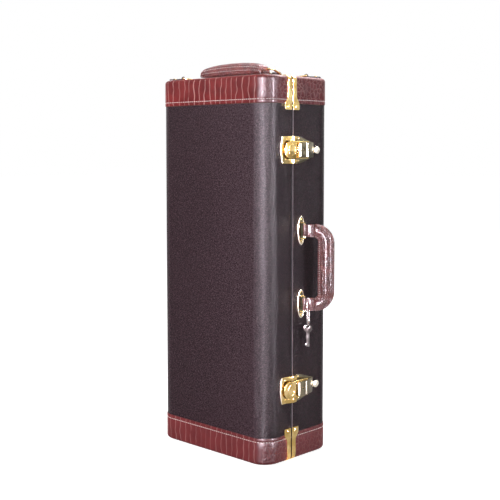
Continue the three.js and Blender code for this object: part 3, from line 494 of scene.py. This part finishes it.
def stitch_tree():
    """A node group that sews a row of stitches along each line of a mesh."""
    tree = bpy.data.node_groups.new("stitch_row", "GeometryNodeTree")
    sockets = tree.interface
    sockets.new_socket("Geometry", in_out="INPUT", socket_type="NodeSocketGeometry")
    for label in ("Pitch", "Stitch Length", "Stitch Width"):
        sockets.new_socket(label, in_out="INPUT", socket_type="NodeSocketFloat")
    sockets.new_socket("Thread", in_out="INPUT", socket_type="NodeSocketMaterial")
    sockets.new_socket("Geometry", in_out="OUTPUT", socket_type="NodeSocketGeometry")

    def node(kind, **inputs):
        made = tree.nodes.new(kind)
        for key, value in inputs.items():
            socket = made.inputs[key.replace("_", " ")]
            if isinstance(value, bpy.types.NodeSocket):
                tree.links.new(value, socket)
            else:
                socket.default_value = value
        return made

    start = node("NodeGroupInput").outputs
    curve = node("GeometryNodeMeshToCurve", Mesh=start["Geometry"])
    points = tree.nodes.new("GeometryNodeResampleCurve")
    points.mode = "LENGTH"
    tree.links.new(curve.outputs[0], points.inputs["Curve"])
    tree.links.new(start["Pitch"], points.inputs["Length"])
    ball = node("GeometryNodeMeshUVSphere", Segments=8, Rings=6, Radius=0.5)
    width, length = start["Stitch Width"], start["Stitch Length"]
    size = node("ShaderNodeCombineXYZ", X=width, Y=width, Z=length)
    stitch = node("GeometryNodeTransform", Geometry=ball.outputs["Mesh"], Scale=size.outputs[0])
    turn = tree.nodes.new("FunctionNodeAlignRotationToVector")
    turn.axis = "Z"
    tree.links.new(node("GeometryNodeInputTangent").outputs[0], turn.inputs["Vector"])
    rows = node("GeometryNodeInstanceOnPoints", Points=points.outputs[0], Instance=stitch.outputs[0],
                Rotation=turn.outputs[0])
    real = node("GeometryNodeRealizeInstances", Geometry=rows.outputs[0])
    coloured = node("GeometryNodeSetMaterial", Geometry=real.outputs[0], Material=start["Thread"])
    tree.links.new(coloured.outputs[0], node("NodeGroupOutput").inputs["Geometry"])
    return tree


STITCHES = stitch_tree()


def sewn(name, rows, body, pitch=4.6, length=3.6, width=1.3):
    """Stitches along rows of points, on one body; pitch, length and width in millimetres."""
    mesh = bpy.data.meshes.new(name + "_line")
    points, edges = [], []
    for row in rows:
        first = len(points)
        points += [tuple(c * MM for c in p) for p in row]
        edges += [(first + i, first + i + 1) for i in range(len(row) - 1)]
    mesh.from_pydata(points, edges, [])
    line = bpy.data.objects.new(name + "_line", mesh)
    bpy.context.scene.collection.objects.link(line)
    modifier = line.modifiers.new("stitches", "NODES")
    modifier.node_group = STITCHES
    values = {"Pitch": pitch * MM, "Stitch Length": length * MM, "Stitch Width": width * MM,
              "Thread": THREAD}
    for item in STITCHES.interface.items_tree:
        if item.name in values:
            modifier[item.identifier] = values[item.name]
    line.update_tag()
    bpy.context.view_layer.update()
    evaluated = line.evaluated_get(bpy.context.evaluated_depsgraph_get())
    result = bpy.data.meshes.new_from_object(evaluated)
    bpy.data.objects.remove(line)
    result.name = name
    return dressed(name, result, body, (), 80.0)


# Covering and caps
def outline(half, inset):
    """Points round a half of the case from the hinge edge to the latch edge."""
    way, seam = WAY[half], SEAM[half]
    x, y, r = SIDE - inset, BACK - inset, max(CORNER - inset, 0.2)
    edge = way * (y - r)
    straight, turn, broad = 14, 14, 40
    corner = quarter(turn)[:-1]
    points = [(-x, seam + (edge - seam) * i / straight) for i in range(straight)]
    points += [(-(x - r) - r * math.cos(a), edge + way * r * math.sin(a)) for a in corner]
    points += [(-(x - r) + 2 * (x - r) * i / broad, way * y) for i in range(broad)]
    points += [((x - r) + r * math.sin(a), edge + way * r * math.cos(a)) for a in corner]
    points += [(x, edge + (seam - edge) * i / straight) for i in range(straight + 1)]
    return points


def half_shell(half, outer, inner, ends=False):
    """A wall round a half of the case, from profiles of (inset, z), closed over the end when asked."""
    made = Shape()
    skins = [[[(x, y, z) for x, y in outline(half, inset)] for inset, z in profile]
             for profile in (outer, inner)]
    for skin in skins:
        made.grid(skin)
    out, inn = skins
    made.grid([out[0], inn[0]])
    if ends:
        for skin in skins:
            made.lid(skin[-1])
        made.lid([out[-1][0], out[-1][-1], inn[-1][-1], inn[-1][0]])
    else:
        made.grid([out[-1], inn[-1]])
    for column in (0, -1):
        made.grid([[row[column] for row in out], [row[column] for row in inn]])
    return made


def cap_profiles(lift):
    """Outer and inner (inset, z) profiles of an end cap, with a groove along its row of stitches."""
    proud, groove_floor, wall = 0.9, 0.55, 1.0
    groove, turn, flat = CAP - CAP_SEWING, END_ROUNDING, 10
    outer = [(0.2, CAP), (-0.6, CAP - 0.15), (-proud, CAP - 0.7), (-proud, groove + 1.3),
             (-0.7, groove + 0.8), (-groove_floor, groove), (-0.7, groove - 0.8), (-proud, groove - 1.3),
             (-proud, 24), (-proud, 14), (-proud, turn + 1)]
    outer += [(turn - (turn + proud) * math.cos(a), turn - (turn - lift) * math.sin(a)) for a in quarter(8)]
    outer += [(flat, lift)]
    inner = [(0.9, CAP)] + [(wall, z) for _, z in outer[1:10]] + [(wall, turn + 1)]
    inner += [(turn - 5 * math.cos(a), turn - 4.1 * math.sin(a)) for a in quarter(8)]
    inner += [(flat, 1.9)]
    return outer, inner


for half in ("lid", "base"):
    low, high = CAP + GAP, HEIGHT - CAP - GAP
    levels = [low + (high - low) * i / 24 for i in range(25)]
    cover = half_shell(half, [(0.0, z) for z in levels], [(1.0, z) for z in levels])
    cover.piece(f"{half}_covering", node_body(f"{half}_cover"), "vinyl", VINYL, (f"{half}_cover",))
    body = node_body(f"{half}_top_cap")
    for end, lift in (("bottom", 0.5), ("top", 0.0)):
        profiles = cap_profiles(lift)
        sewing = CAP - CAP_SEWING
        if end == "top":
            profiles = [[(inset, HEIGHT - z) for inset, z in profile] for profile in profiles]
            sewing = HEIGHT - CAP + CAP_SEWING
        cap = half_shell(half, *profiles, ends=True)
        cap.piece(f"{half}_{end}_leather", body, "leather", CROC, (f"{half}_{end}_cap",))
        sewn(f"{half}_{end}_stitches", [[(x, y, sewing) for x, y in outline(half, -0.65)]], body)


# Seam bead and rims
def frame_route(inset, radius):
    """A closed loop round the case's front profile in X and Z, with rounded corners."""
    turn = 6
    x, low, high = SIDE - inset - radius, max(inset, 0.0) + radius, HEIGHT - max(inset, 0.0) - radius
    points = []
    for cx, cz, start in ((x, low, -90), (x, high, 0), (-x, high, 90), (-x, low, 180)):
        points += [(cx + radius * math.cos(a), cz + radius * math.sin(a))
                   for a in (math.radians(start + 90 * i / turn) for i in range(turn + 1))]
    return points


def bead_frame():
    """The seam bead and, behind it, the tongue that slides inside the lid's rim."""
    rise, half, tongue, tip = 0.62, 1.5, 8.8, -28.0
    front, back = BEAD_MIDDLE - half, BEAD_MIDDLE + half
    section = [(11.0, back), (0.6, back), (-0.2, back - 0.15), (-0.55, back - 0.6), (-rise, BEAD_MIDDLE),
               (-0.55, front + 0.6), (-0.2, front + 0.15), (0.6, front), (tongue, front),
               (tongue, tip + 0.4), (9.4, tip), (10.6, tip), (11.0, tip + 0.6)]
    rows = [[(x, y, z) for x, z in frame_route(inset, max(END_ROUNDING - inset, 0.6))]
            for inset, y in section]
    return Shape().grid(rows, True, True)


bead_frame().piece("seam_bead", "case_base", "beading", BEAD, ("base_rim",), 50.0)
refined("lid_rim", "lid_frame", VELVET, 0.5)


# Plush lining
# The recess is three tapered slots: tube, bow and bell, each from one round end to the other.
TUBE_END, BOW_END = ((-50.4, 117.8), 45.36), ((30.24, 117.8), 47.88)
RECESS = [(*TUBE_END, (-70.56, 558.0), 30.24), (*TUBE_END, *BOW_END), (*BOW_END, (40.32, 279.0), 65.52)]
RECESS_WALL = 3.0
POCKET = {"x": 65.5, "z": 492.9, "half_width": 40.3, "half_height": 96.1, "radius": 7.6}


def tapered(x, z, a, ra, b, rb):
    """Distance outside a slot whose round ends have two sizes."""
    ax, az = a
    length = math.hypot(b[0] - ax, b[1] - az)
    ux, uz = (b[0] - ax) / length, (b[1] - az) / length
    along = (x - ax) * ux + (z - az) * uz
    across = np.abs((x - ax) * -uz + (z - az) * ux)
    lean = (ra - rb) / length
    flat = math.sqrt(1 - lean * lean)
    k = across * -lean + along * flat
    side = across * flat + along * lean - ra
    far = np.where(k > flat * length, np.hypot(across, along - length) - rb, side)
    return np.where(k < 0, np.hypot(across, along) - ra, far)


def pocket_distance(x, z):
    """Distance outside the accessory pocket's rounded rectangle."""
    r = POCKET["radius"]
    qx = np.abs(x - POCKET["x"]) - POCKET["half_width"] + r
    qz = np.abs(z - POCKET["z"]) - POCKET["half_height"] + r
    return np.hypot(np.maximum(qx, 0), np.maximum(qz, 0)) + np.minimum(np.maximum(qx, qz), 0) - r


def recess_distance(x, z):
    """Distance outside the three slots together, with their meeting corners rounded."""
    soft = 2.0
    return -soft * np.log(sum(np.exp(-tapered(x, z, *slot) / soft) for slot in RECESS))


def sunk(distance, depth, fillet=9.0):
    """Depth below the lining's face at a distance outside the recess's edge."""
    lip = wall = RECESS_WALL
    d = -distance
    rounded = lip - np.sqrt(np.maximum(lip * lip - np.clip(d + lip, 0, lip) ** 2, 0))
    fall = rounded + (depth - lip - fillet) * np.clip(d / wall, 0, 1)
    u = np.clip((d - wall) / fillet, 0, 1)
    return fall + fillet * np.sqrt(np.maximum(1 - (1 - u) ** 2, 0)) * (d > wall)


def settle(x, z, distance, step, inside):
    """Grid points near a recess's edge moved onto it, then onto the foot of its wall."""
    reach = 0.05
    for level in (0.0, -RECESS_WALL, -RECESS_WALL):
        d = distance(x, z) - level
        gx = (distance(x + reach, z) - distance(x - reach, z)) / (2 * reach)
        gz = (distance(x, z + reach) - distance(x, z - reach)) / (2 * reach)
        near = (np.abs(d) < step * 0.62) & inside(x, z)
        x, z = np.where(near, x - d * gx, x), np.where(near, z - d * gz, z)
    return x, z


def lining(half, depth, pocket_depth=0.0):
    """A half's padded lining with its recesses, a slightly uneven floor and a rounded edge."""
    way = WAY[half]
    wide, low, high, margin = 119.3, 7.6, 612.4, 1
    shoulder_at, back_inset, back_share, edge_round = 50.0, 2, 0.8, 2.5
    step = 2.0
    x, z = np.meshgrid(np.linspace(-wide, wide, int(2 * wide / step) + 1),
                       np.linspace(low, high, int((high - low) / step) + 1))

    def inside(x, z):
        return (np.abs(x) < wide - margin) & (z > low + margin) & (z < high - margin)

    x, z = settle(x, z, recess_distance, step, inside)
    if pocket_depth:
        x, z = settle(x, z, pocket_distance, step, inside)
    down = sunk(recess_distance(x, z), depth)
    if pocket_depth:
        down = np.maximum(down, sunk(pocket_distance(x, z), pocket_depth, fillet=4.0))
    puff = 0.5 * np.sin(x / 17.0 + 1.3 * np.sin(z / 41.0)) * np.sin(z / 23.0 + np.sin(x / 29.0))
    down = down + np.where(down > 4, puff, 0.0)
    edge = np.minimum(np.minimum(wide - np.abs(x), z - low), high - z)
    drop = np.clip(edge_round - edge, 0, edge_round)
    down = down + edge_round - np.sqrt(np.maximum(edge_round ** 2 - drop ** 2, 0))
    y = FACING[half] + way * down
    rows = [list(zip(*line)) for line in zip(x, y, z)]
    sides = rows[1:-1]
    rim = rows[0] + [row[-1] for row in sides] + rows[-1][::-1] + [row[0] for row in reversed(sides)]
    height = high - low
    squeezed = (height - 2 * back_inset) / height
    shoulder = [(px, way * shoulder_at, pz) for px, _, pz in rim]
    back = [(px * back_share, way * LINING_BACK, low + back_inset + (pz - low) * squeezed)
            for px, _, pz in rim]
    made = Shape().grid(rows).grid([rim, shoulder, back], False, True).lid(back)
    node = f"{half}_liner"
    piece = made.piece(f"{half}_plush_lining", node_body(node), "velvet", VELVET, (node,), 60.0)


lining("base", 75.0, 55.0)
lining("lid", 30.0)


# Corner straps
STRAP = {"out": 127.2, "turn": 7.2, "foot": 54.0, "tip": 90.0, "width": 9.0, "foot_width": 15.5,
         "foot_edge": 14.6, "rivet_up": 4.6, "rivet_across": 7.6, "rivet_radius": 2.7, "rivet_rise": 1.2}
STRAP_SEAM = {"lid": -21.3, "base": -18.7}
STRAP_END = {True: 620.3, False: 1.2}


def strap_path(up):
    """Centre line of a strap as (x, z, outward direction), from its foot over the edge to its tip."""
    direction, level = (1, HEIGHT) if up else (-1, 0.0)
    out, turn, end = STRAP["out"], STRAP["turn"], STRAP_END[up]
    foot = level - direction * STRAP["foot"]
    straight = STRAP["foot"] - turn + direction * (end - level)
    path = [(out, foot + direction * straight * i / 18, (1, 0)) for i in range(19)]
    path += [(out - turn + turn * math.cos(a), end - direction * turn + direction * turn * math.sin(a),
              (math.cos(a), direction * math.sin(a))) for a in quarter(8, 1)]
    path += [(out - turn - (out - turn - STRAP["tip"]) * i / 8, end, (0, direction)) for i in range(1, 9)]
    return foot, direction, path


def strap_width(run):
    """Width of a strap at a distance from its foot: flared there, then narrow."""
    flare, foot_width = 8.5, STRAP["foot_width"]
    t = min(max((run - flare) / 13.0, 0.0), 1.0)
    if run < 0.01:
        return STRAP["foot_edge"]
    return foot_width + (STRAP["width"] - foot_width) * (3 * t * t - 2 * t * t * t)


def strap(half, way, up):
    """A brass strap over the end edge, crowned across, with a flared and riveted foot."""
    outward, seam_side = WAY[half], STRAP_SEAM[half]
    foot, direction, path = strap_path(up)
    across_shares = [0.0, 0.0, 0.04, 0.14, 0.34, 0.5, 0.66, 0.86, 0.96, 1.0, 1.0]
    lift = [0.0, 0.7, 0.95, 1.15, 1.25, 1.28, 1.25, 1.15, 0.95, 0.7, 0.0]
    rows = []
    for x, z, (nx, nz) in path:
        on_side = abs(x - STRAP["out"]) < 0.01
        width = strap_width(abs(z - foot)) if on_side else STRAP["width"]
        full = 0.8 if abs(x - STRAP["tip"]) < 0.01 else 0.9375
        rows.append([(way * (x + nx * rise * full), seam_side + outward * (width * share),
                      z + nz * rise * full) for share, rise in zip(across_shares, lift)])
    rivet = (way * (STRAP["out"] + 1.2), seam_side + outward * STRAP["rivet_across"],
             foot + direction * STRAP["rivet_up"])
    return Shape().capped(rows).dome(rivet, (way, 0, 0), STRAP["rivet_radius"], STRAP["rivet_rise"])


for half in ("lid", "base"):
    body = node_body(f"{half}_shell")
    for side, way in (("latch", 1), ("hinge", -1)):
        for end, up in (("top", True), ("bottom", False)):
            node = f"{half}_corner_{end}_{side}"
            strap(half, way, up).piece(f"{half}_{end}_{side}_strap", body, "brass", BRASS, (node,), 42.0)


# Latches, hinges and handle plates
# Each fitting: its CAD node, its name, its bevel's width and its material.
FITTINGS = (("latch_plate", "latch_base_plate", 0.3, BRASS),
            ("latch_keeper", "latch_catch_plate", 0.45, BRASS),
            ("latch_lever", "latch_cover", 0.5, BRASS), ("latch_hook", "latch_bow", 0.5, BRASS),
            ("hinge_leaf_lid", "lid_leaf", 0.25, BRASS), ("hinge_leaf_base", "base_leaf", 0.25, BRASS),
            ("handle_plate", "handle_dish", 0.35, BRASS), ("side_handle_band", "handle_ferrule", 0.5, BAND))
# For each fitting with a painted dark reflection: the Y where its thumb piece, painted as a highlight,
# begins, if any, and how far a face looks outwards.
NO_THUMB = 99.0
SHADED = {"latch_lever": (28.0, 0.5), "handle_plate": (NO_THUMB, 0.9), "latch_plate": (NO_THUMB, 0.95)}


def shade(fitting, thumb_from, facing):
    """Painted dark reflection as darker brass on the flat outward faces, and a painted highlight as pale
    brass on a lever's thumb piece.
    """
    mesh = fitting.data
    mesh.materials.append(SHADED_BRASS)
    mesh.materials.append(HIGHLIGHT_BRASS)
    for face in mesh.polygons:
        if face.center.y > thumb_from * MM:
            face.material_index = 2
        elif face.normal.x > facing:
            face.material_index = 1


def wire_trim(path, radius, name, body, closed=False, material=HIGHLIGHT_BRASS):
    """A raised rim or bar of brass wire on a fitting, pale by default as a painted highlight."""
    Shape().tube(path, radius, 10, closed).piece(name, body, "brass", material, (), 60.0)


# The lever's bars: Y, half length and distance out.
LEVER_BARS = ((-13.2, 10.6, 137.45), (-11.0, 10.6, 137.45), (4.4, 10.6, 137.45), (6.2, 10.4, 137.1))


def latch_trim(level):
    """Bars across the lever, a rounded edge on the catch plate and a ring round the hook's nose; the bars
    and the edge are pale as painted highlights.
    """
    centre = LATCH_HEIGHT[level]
    bars = Shape()
    for y, half, out in LEVER_BARS:
        bars.tube([(out, y, centre - half), (out, y, centre + half)], 0.75, 10)
    bow, half_width = 3.2, 20.6
    steps = [i / 10 for i in range(-10, 11)]
    edge = [(127.2, -43.0 - bow * (1 - t * t), centre + half_width * t) for t in steps]
    wire_trim(edge, 0.85, f"catch_edge_{level}", "lid")
    nose = [(133.6 + 1.04 * math.cos(a), -27.0 + 6.5 * math.cos(a), centre + 8.6 * math.sin(a))
            for a in circle(40)]
    wire_trim(nose, 0.7, f"bow_ring_{level}", node_body(f"latch_hook_{level}"), True, BRASS)
    bars.piece(f"latch_bars_{level}", node_body(f"latch_lever_{level}"), "brass", HIGHLIGHT_BRASS, (), 60.0)


def dish_rim(level):
    """An oval rim on a handle plate, thicker on the side away from the back, pale as a painted highlight.
    """
    middle = DISH_HEIGHT[level]
    rim = [(127.7, HANDLE_AXIS[1] + 7.4 * math.cos(a), middle + 22.4 * math.sin(a)) for a in circle(40)]
    thickness = [0.75 - 0.3 * math.cos(a) for a in circle(40)]
    wire_trim(rim, thickness, f"dish_rim_{level}", "case_base", True)


for level in ("upper", "lower"):
    for node, name, width, finish in FITTINGS:
        fitting = refined(f"{node}_{level}", f"{name}_{level}", finish, width)
        if node in SHADED:
            shade(fitting, *SHADED[node])
    latch_trim(level)
    dish_rim(level)


# Side handle
HANDLE = Matrix.Translation((*HANDLE_AXIS, 0.0)) @ Matrix.Rotation(math.radians(HANDLE_SWING), 4, "Z")
GRIP_END = {"out": 9.2, "across": 6.0, "welt_share": 0.66}
GRIP_FULL = {"out": 12.2, "across": 10.3, "offset": 1.2}


def grip_route():
    """Stations of the side grip in the handle's own frame: (out, z, angle, share of full size)."""
    start, end, reach, bend, end_share = 14.9, 59.5, 34.0, 19.0, 0.4
    route = [(start + step, end, math.pi / 2, share)
             for step, share in ((0.0, 0.0), (0.4, 0.12), (1.2, 0.30), (2.0, end_share))]
    for i in range(1, 13):
        a = math.pi / 2 * (1 - i / 12)
        route.append((reach - bend * (1 - math.cos(a)), end - bend * (1 - math.sin(a)), a,
                      end_share + (1.0 - end_share) * i / 12))
    run = end - bend
    route += [(reach, run * (1 - i / 9), 0.0, 1.0) for i in range(1, 9)]
    mirrored = [(r, -z, -a, s) for r, z, a, s in reversed(route)]
    return route + [(reach, 0.0, 0.0, 1.0)] + mirrored


def welt_scale(share):
    """How large the welt is where the grip has a share of its full size."""
    least = GRIP_END["welt_share"]
    return least + (1.0 - least) * share


def grip_section(share):
    """(outward, across) points: a padded body with a narrow sewn welt on the inner side."""
    out = GRIP_END["out"] + (GRIP_FULL["out"] - GRIP_END["out"]) * share
    across = GRIP_END["across"] + (GRIP_FULL["across"] - GRIP_END["across"]) * share
    angles = [math.radians(-140 + 280 * i / 24) for i in range(25)]
    body = [(GRIP_FULL["offset"] * share + out * math.cos(a), across * math.sin(a)) for a in angles]
    welt = [(-9.4, 4.3), (-10.6, 2.9), (-12.2, 2.6), (-13.1, 1.9), (-13.4, 0.0)]
    side = [(u * welt_scale(share), v * welt_scale(share)) for u, v in welt]
    return body + side + [(u, -v) for u, v in reversed(side[:-1])]


def handle_point(station, u, v):
    """A point of a station's section: u towards the outside of the bend, v across."""
    r, z, a, _ = station
    return HANDLE @ Vector((r + u * math.cos(a), v, HANDLE_MIDDLE + z + u * math.sin(a)))


def welt_line(stations, u, v):
    """A line of points along the welt, at a place on its full section."""
    scales = [welt_scale(station[3]) for station in stations]
    return [handle_point(station, u * scale, v * scale) for station, scale in zip(stations, scales)]


stations = grip_route()
grip = Shape().capped([[handle_point(station, u, v) for u, v in grip_section(station[3])]
                       for station in stations])
grip.piece("side_grip", "side_handle", "leather", GRIP, ("side_handle_grip",), 60.0)
sewn("side_grip_stitches", [welt_line(stations[5:-5], -10.9, v) for v in (2.95, -2.95)], "side_handle",
     3.6, 2.5, 0.9)


# Top handle
TOP_GRIP = {"half_length": 70.5, "half_width": 13.0, "end_height": 11.4, "height": 20.8, "bottom": 625.6,
            "y": -22.5}
TOP_GRIP_SHARES = [(0.0, 0.0), (0.5, 0.0), (0.86, 0.005), (0.97, 0.05), (1.0, 0.12), (1.0, 0.3),
                   (0.985, 0.46), (0.93, 0.62), (0.82, 0.78), (0.62, 0.92), (0.34, 0.985), (0.0, 1.0),
                   (-0.34, 0.97), (-0.62, 0.9), (-0.82, 0.78), (-0.93, 0.64), (-0.985, 0.5), (-1.0, 0.34),
                   (-1.0, 0.12), (-0.97, 0.05), (-0.86, 0.005), (-0.5, 0.0)]


def top_section(x):
    """Points (y, z) of the top grip's section at a place along it."""
    t = min(abs(x) / TOP_GRIP["half_length"], 1.0)
    arch = TOP_GRIP["height"] - TOP_GRIP["end_height"]
    height = TOP_GRIP["end_height"] + arch * math.sqrt(max(1 - t * t, 0.0))
    full, rest = 0.86, 0.14
    taper = math.sqrt(max(1 - max(t - full, 0.0) ** 2 / rest ** 2, 0.0)) if t > full else 1.0
    half_width = TOP_GRIP["half_width"] * (0.84 + 0.16 * taper)
    height *= 0.88 + 0.12 * taper
    return [(TOP_GRIP["y"] + u * half_width, TOP_GRIP["bottom"] + v * height) for u, v in TOP_GRIP_SHARES]


places = [TOP_GRIP["half_length"] * math.sin(math.pi / 2 * i / 24) for i in range(-24, 25)]
grip = Shape().capped([[(x, y, z) for y, z in top_section(x)] for x in places])
grip.piece("top_grip", "top_handle", "leather", GRIP, ("top_handle_grip",), 60.0)
for name, index, out in (("high", 15, -0.1), ("low", 17, -0.1), ("rear_low", 5, 0.1)):
    line = []
    for x in (68.0 * i / 30 for i in range(-30, 31)):
        y, z = top_section(x)[index]
        line.append((x, y + out, z + 0.05))
    sewn(f"top_grip_stitches_{name}", [line], "top_handle", 4.0, 2.9, 1.0)


def ring_route(width, reach, corner):
    """A wire ring's centre line: (across, along) from a straight bar at zero, with rounded far corners."""
    half = width / 2
    middle, near = half - corner, reach - corner
    points = [(-half * 0.5, 0.0), (0.0, 0.0), (half * 0.5, 0.0), (half - 0.9, 0.0), (half - 0.25, 0.25),
              (half, 0.9), (half, near)]
    points += [(middle + corner * math.cos(a), near + corner * math.sin(a)) for a in quarter(8, 1)]
    points += [(-middle - corner * math.sin(a), near + corner * math.cos(a)) for a in quarter(8)[:-1]]
    return points + [(-half, near), (-half, 0.9), (-half + 0.25, 0.25), (-half + 0.9, 0.0)]


lean = math.radians(70)
for name, way in (("left", -1), ("right", 1)):
    wire = [(way * TOP_RING_PLACE + u, TOP_HANDLE_Y - v * math.sin(lean), 625.4 + v * math.cos(lean))
            for u, v in ring_route(20.0, 22.0, 3.2)]
    Shape().tube(wire, 1.6, 14, True).piece(f"top_ring_{name}", "top_handle", "brass", BRASS,
                                            (f"top_handle_ring_{name}",), 70.0)


def tab(place, name, body, node, width, eye, height, tail, thick, rivet_at):
    """A riveted leather loop that wraps a ring's bar: its tail lies along -Y in its own frame, Z is up."""
    half = width / 2
    angles = [math.radians(-62 + 242 * i / 14) for i in range(15)]
    section = [(eye * math.cos(a), height + eye * math.sin(a)) for a in angles]
    section += [(-eye - 1.2, GAP + thick + 0.25), (-tail * 0.5, GAP + thick),
                (-tail + 2.0, GAP + thick * 0.92), (-tail + 0.5, GAP + thick * 0.75),
                (-tail, GAP + thick * 0.4), (-tail, GAP), (0.0, GAP), (eye * 0.3, GAP + 0.2)]
    width_shares = ((-1.0, 0.86), (-0.96, 0.97), (-0.88, 1.0), (-0.4, 1.0), (0.0, 1.0), (0.4, 1.0),
                    (0.88, 1.0), (0.96, 0.97), (1.0, 0.86))
    rows = [[(half * along, y, GAP + (z - GAP) * size if z > GAP else z) for y, z in section]
            for along, size in width_shares]
    made = Shape().capped(rows).dome((0, -rivet_at, GAP + thick * 0.9), (0, 0, 1), 2.6, 1.5, mark=1)
    made.moved(place).piece(name, body, "leather", [TAB, BRASS], (node,), 55.0)


half_turn = Matrix.Rotation(math.pi, 4, "Z")
for name, way in (("left", -1), ("right", 1)):
    place = Matrix.Translation((way * TOP_RING_PLACE, TOP_HANDLE_Y, HEIGHT)) @ half_turn
    tab(place, f"top_tab_{name}", "case_base", f"top_handle_tab_{name}", width=15.0, eye=4.55, height=5.4,
        tail=18.0, thick=3.5, rivet_at=12.6)


# Strap rings and their tabs
RING_BAR = 3.85
LOW_RING = {"x": 84.0, "z": 66.0}


def ring_place(across, inward, up, at):
    """A frame for a ring and its tab, from its three directions and its place."""
    return Matrix.Translation(at) @ Matrix((across, inward, up)).transposed().to_4x4()


DIAGONAL = math.sqrt(0.5)
corner_reach = 16.5 - 24 * DIAGONAL
spots = {}
for name, way in (("lid", -1), ("base", 1)):
    across, inward = (-way * DIAGONAL, way * DIAGONAL, 0), (-way * DIAGONAL, -way * DIAGONAL, 0)
    at = (way * (SIDE - CORNER + corner_reach), way * (BACK - CORNER + corner_reach), HEIGHT)
    spots[name] = (ring_place(across, inward, (0, 0, 1), at), 7.0)
for name, way in (("low_left", -1), ("low_right", 1)):
    at = (way * LOW_RING["x"], BACK, LOW_RING["z"])
    spots[name] = (ring_place((1, 0, 0), (0, 0, -1), (0, 1, 0), at), 0.0)
for name, (place, droop) in spots.items():
    tab(place, f"strap_tab_{name}", node_body(f"ring_tab_{name}"), f"ring_tab_{name}", width=12.4, eye=3.55,
        height=RING_BAR, tail=24.0, thick=3.0, rivet_at=15.6)
    turn = math.radians(droop)
    wire = [(u, v * math.cos(turn), RING_BAR - v * math.sin(turn)) for u, v in ring_route(18.0, 17.0, 7.5)]
    loop = Shape().tube(wire, 1.4, 14, True).moved(place)
    loop.piece(f"strap_ring_{name}", f"d_ring_{name}", "brass", BRASS, (f"d_ring_{name}",), 70.0)


# Keys
def key_wire():
    """The key loop: two half rounds joined by straight sides, a little turned from the handle's plane."""
    top, half, height, out, skew = 264.65, 10.0, 46.0, 5.4, math.radians(8)
    points = []
    for centre, first in ((top - half, 0.0), (top - height + half, math.pi)):
        for a in (first + math.pi * i / 16 for i in range(17)):
            across = half * math.cos(a)
            points.append(HANDLE @ Vector((out + across * math.sin(skew), across * math.cos(skew),
                                           centre + half * math.sin(a))))
    return points


Shape().tube(key_wire(), 0.65, 10, True).piece("key_wire", "key_loop", "steel", STEEL, ("key_loop",), 70.0)
for node, name in (("key_front", "front_key"), ("key_rear", "rear_key")):
    refined(node, name, KEY_STEEL, 0.25)


# Floor and light
def stage_floor():
    """A plain pale floor: near white to the camera, dimmer as a source of light."""
    mesh = bpy.data.meshes.new("floor")
    reach = 14.0
    corners = [(-reach, -reach, 0), (reach, -reach, 0), (reach, reach, 0), (-reach, reach, 0)]
    mesh.from_pydata(corners, [], [(0, 1, 2, 3)])
    floor = bpy.data.objects.new("floor", mesh)
    bpy.context.scene.collection.objects.link(floor)
    g = Graph("floor")
    seen = g.node("ShaderNodeLightPath", output="Is Camera Ray")
    glow = g.mix(seen, (0.12, 0.12, 0.12, 1.0), (0.9, 0.9, 0.9, 1.0))
    g.finish(Base_Color=(0.6, 0.6, 0.6, 1.0), Roughness=0.9, Emission_Color=glow)
    g.shader.inputs["Emission Strength"].default_value = 1.0
    g.shader.inputs["Specular IOR Level"].default_value = 0.0
    mesh.materials.append(g.material)


def world_light():
    """A white background for camera, glossy and transmitted rays, and a dim even light for the rest."""
    world = bpy.data.worlds.new("studio")
    world.use_nodes = True
    bpy.context.scene.world = world
    nodes, links = world.node_tree.nodes, world.node_tree.links
    back = nodes["Background"]
    back.inputs["Color"].default_value = (1.0, 1.0, 1.0, 1.0)
    path = nodes.new("ShaderNodeLightPath")
    seen = path.outputs["Is Camera Ray"]
    for kind in ("Is Transmission Ray", "Is Glossy Ray"):
        either = nodes.new("ShaderNodeMath")
        either.operation = "MAXIMUM"
        links.new(seen, either.inputs[0])
        links.new(path.outputs[kind], either.inputs[1])
        seen = either.outputs[0]
    level = nodes.new("ShaderNodeMapRange")
    level.inputs["To Min"].default_value = 0.2
    level.inputs["To Max"].default_value = 1.0
    links.new(seen, level.inputs["Value"])
    links.new(level.outputs["Result"], back.inputs["Strength"])


WARM, ROSE = (1.0, 0.95, 0.98), (1.0, 0.88, 0.98)
CORNER_AIM = (0.12, -0.07, 0.31)


def area_light(name, place, aim, size, power, diffuse=True, tint=WARM):
    """A soft box, in metres and watts; diffuse is False for one that only makes highlights."""
    data = bpy.data.lights.new(name, "AREA")
    data.shape = "RECTANGLE"
    data.size, data.size_y = size
    data.energy, data.color = power, tint
    lamp = bpy.data.objects.new(name, data)
    bpy.context.scene.collection.objects.link(lamp)
    lamp.visible_diffuse = diffuse
    lamp.location = place
    lamp.rotation_euler = (Vector(aim) - Vector(place)).to_track_quat("-Z", "Y").to_euler()


stage_floor()
world_light()
area_light("key", (-0.9, -2.2, 1.5), (0.0, 0.0, 0.35), (1.2, 1.4), 40.0)
area_light("corner_strip", (1.16, -2.12, 0.45), CORNER_AIM, (0.36, 1.8), 860.0, False, ROSE)
area_light("corner_strip_two", (2.4, 0.12, 0.45), CORNER_AIM, (0.14, 1.8), 520.0, False, ROSE)
area_light("top", (0.0, 1.1, 2.3), (0.0, 0.0, 0.6), (1.6, 1.0), 42.0)
area_light("edge_strip", (-0.1, 2.1, 2.5), (0.1, 0.0, 0.6), (2.4, 0.5), 80.0, False)
area_light("right", (2.4, -0.5, 1.3), (0.1, 0.0, 0.3), (0.6, 0.8), 2.0)
bpy.context.scene.view_settings.view_transform = "Standard"
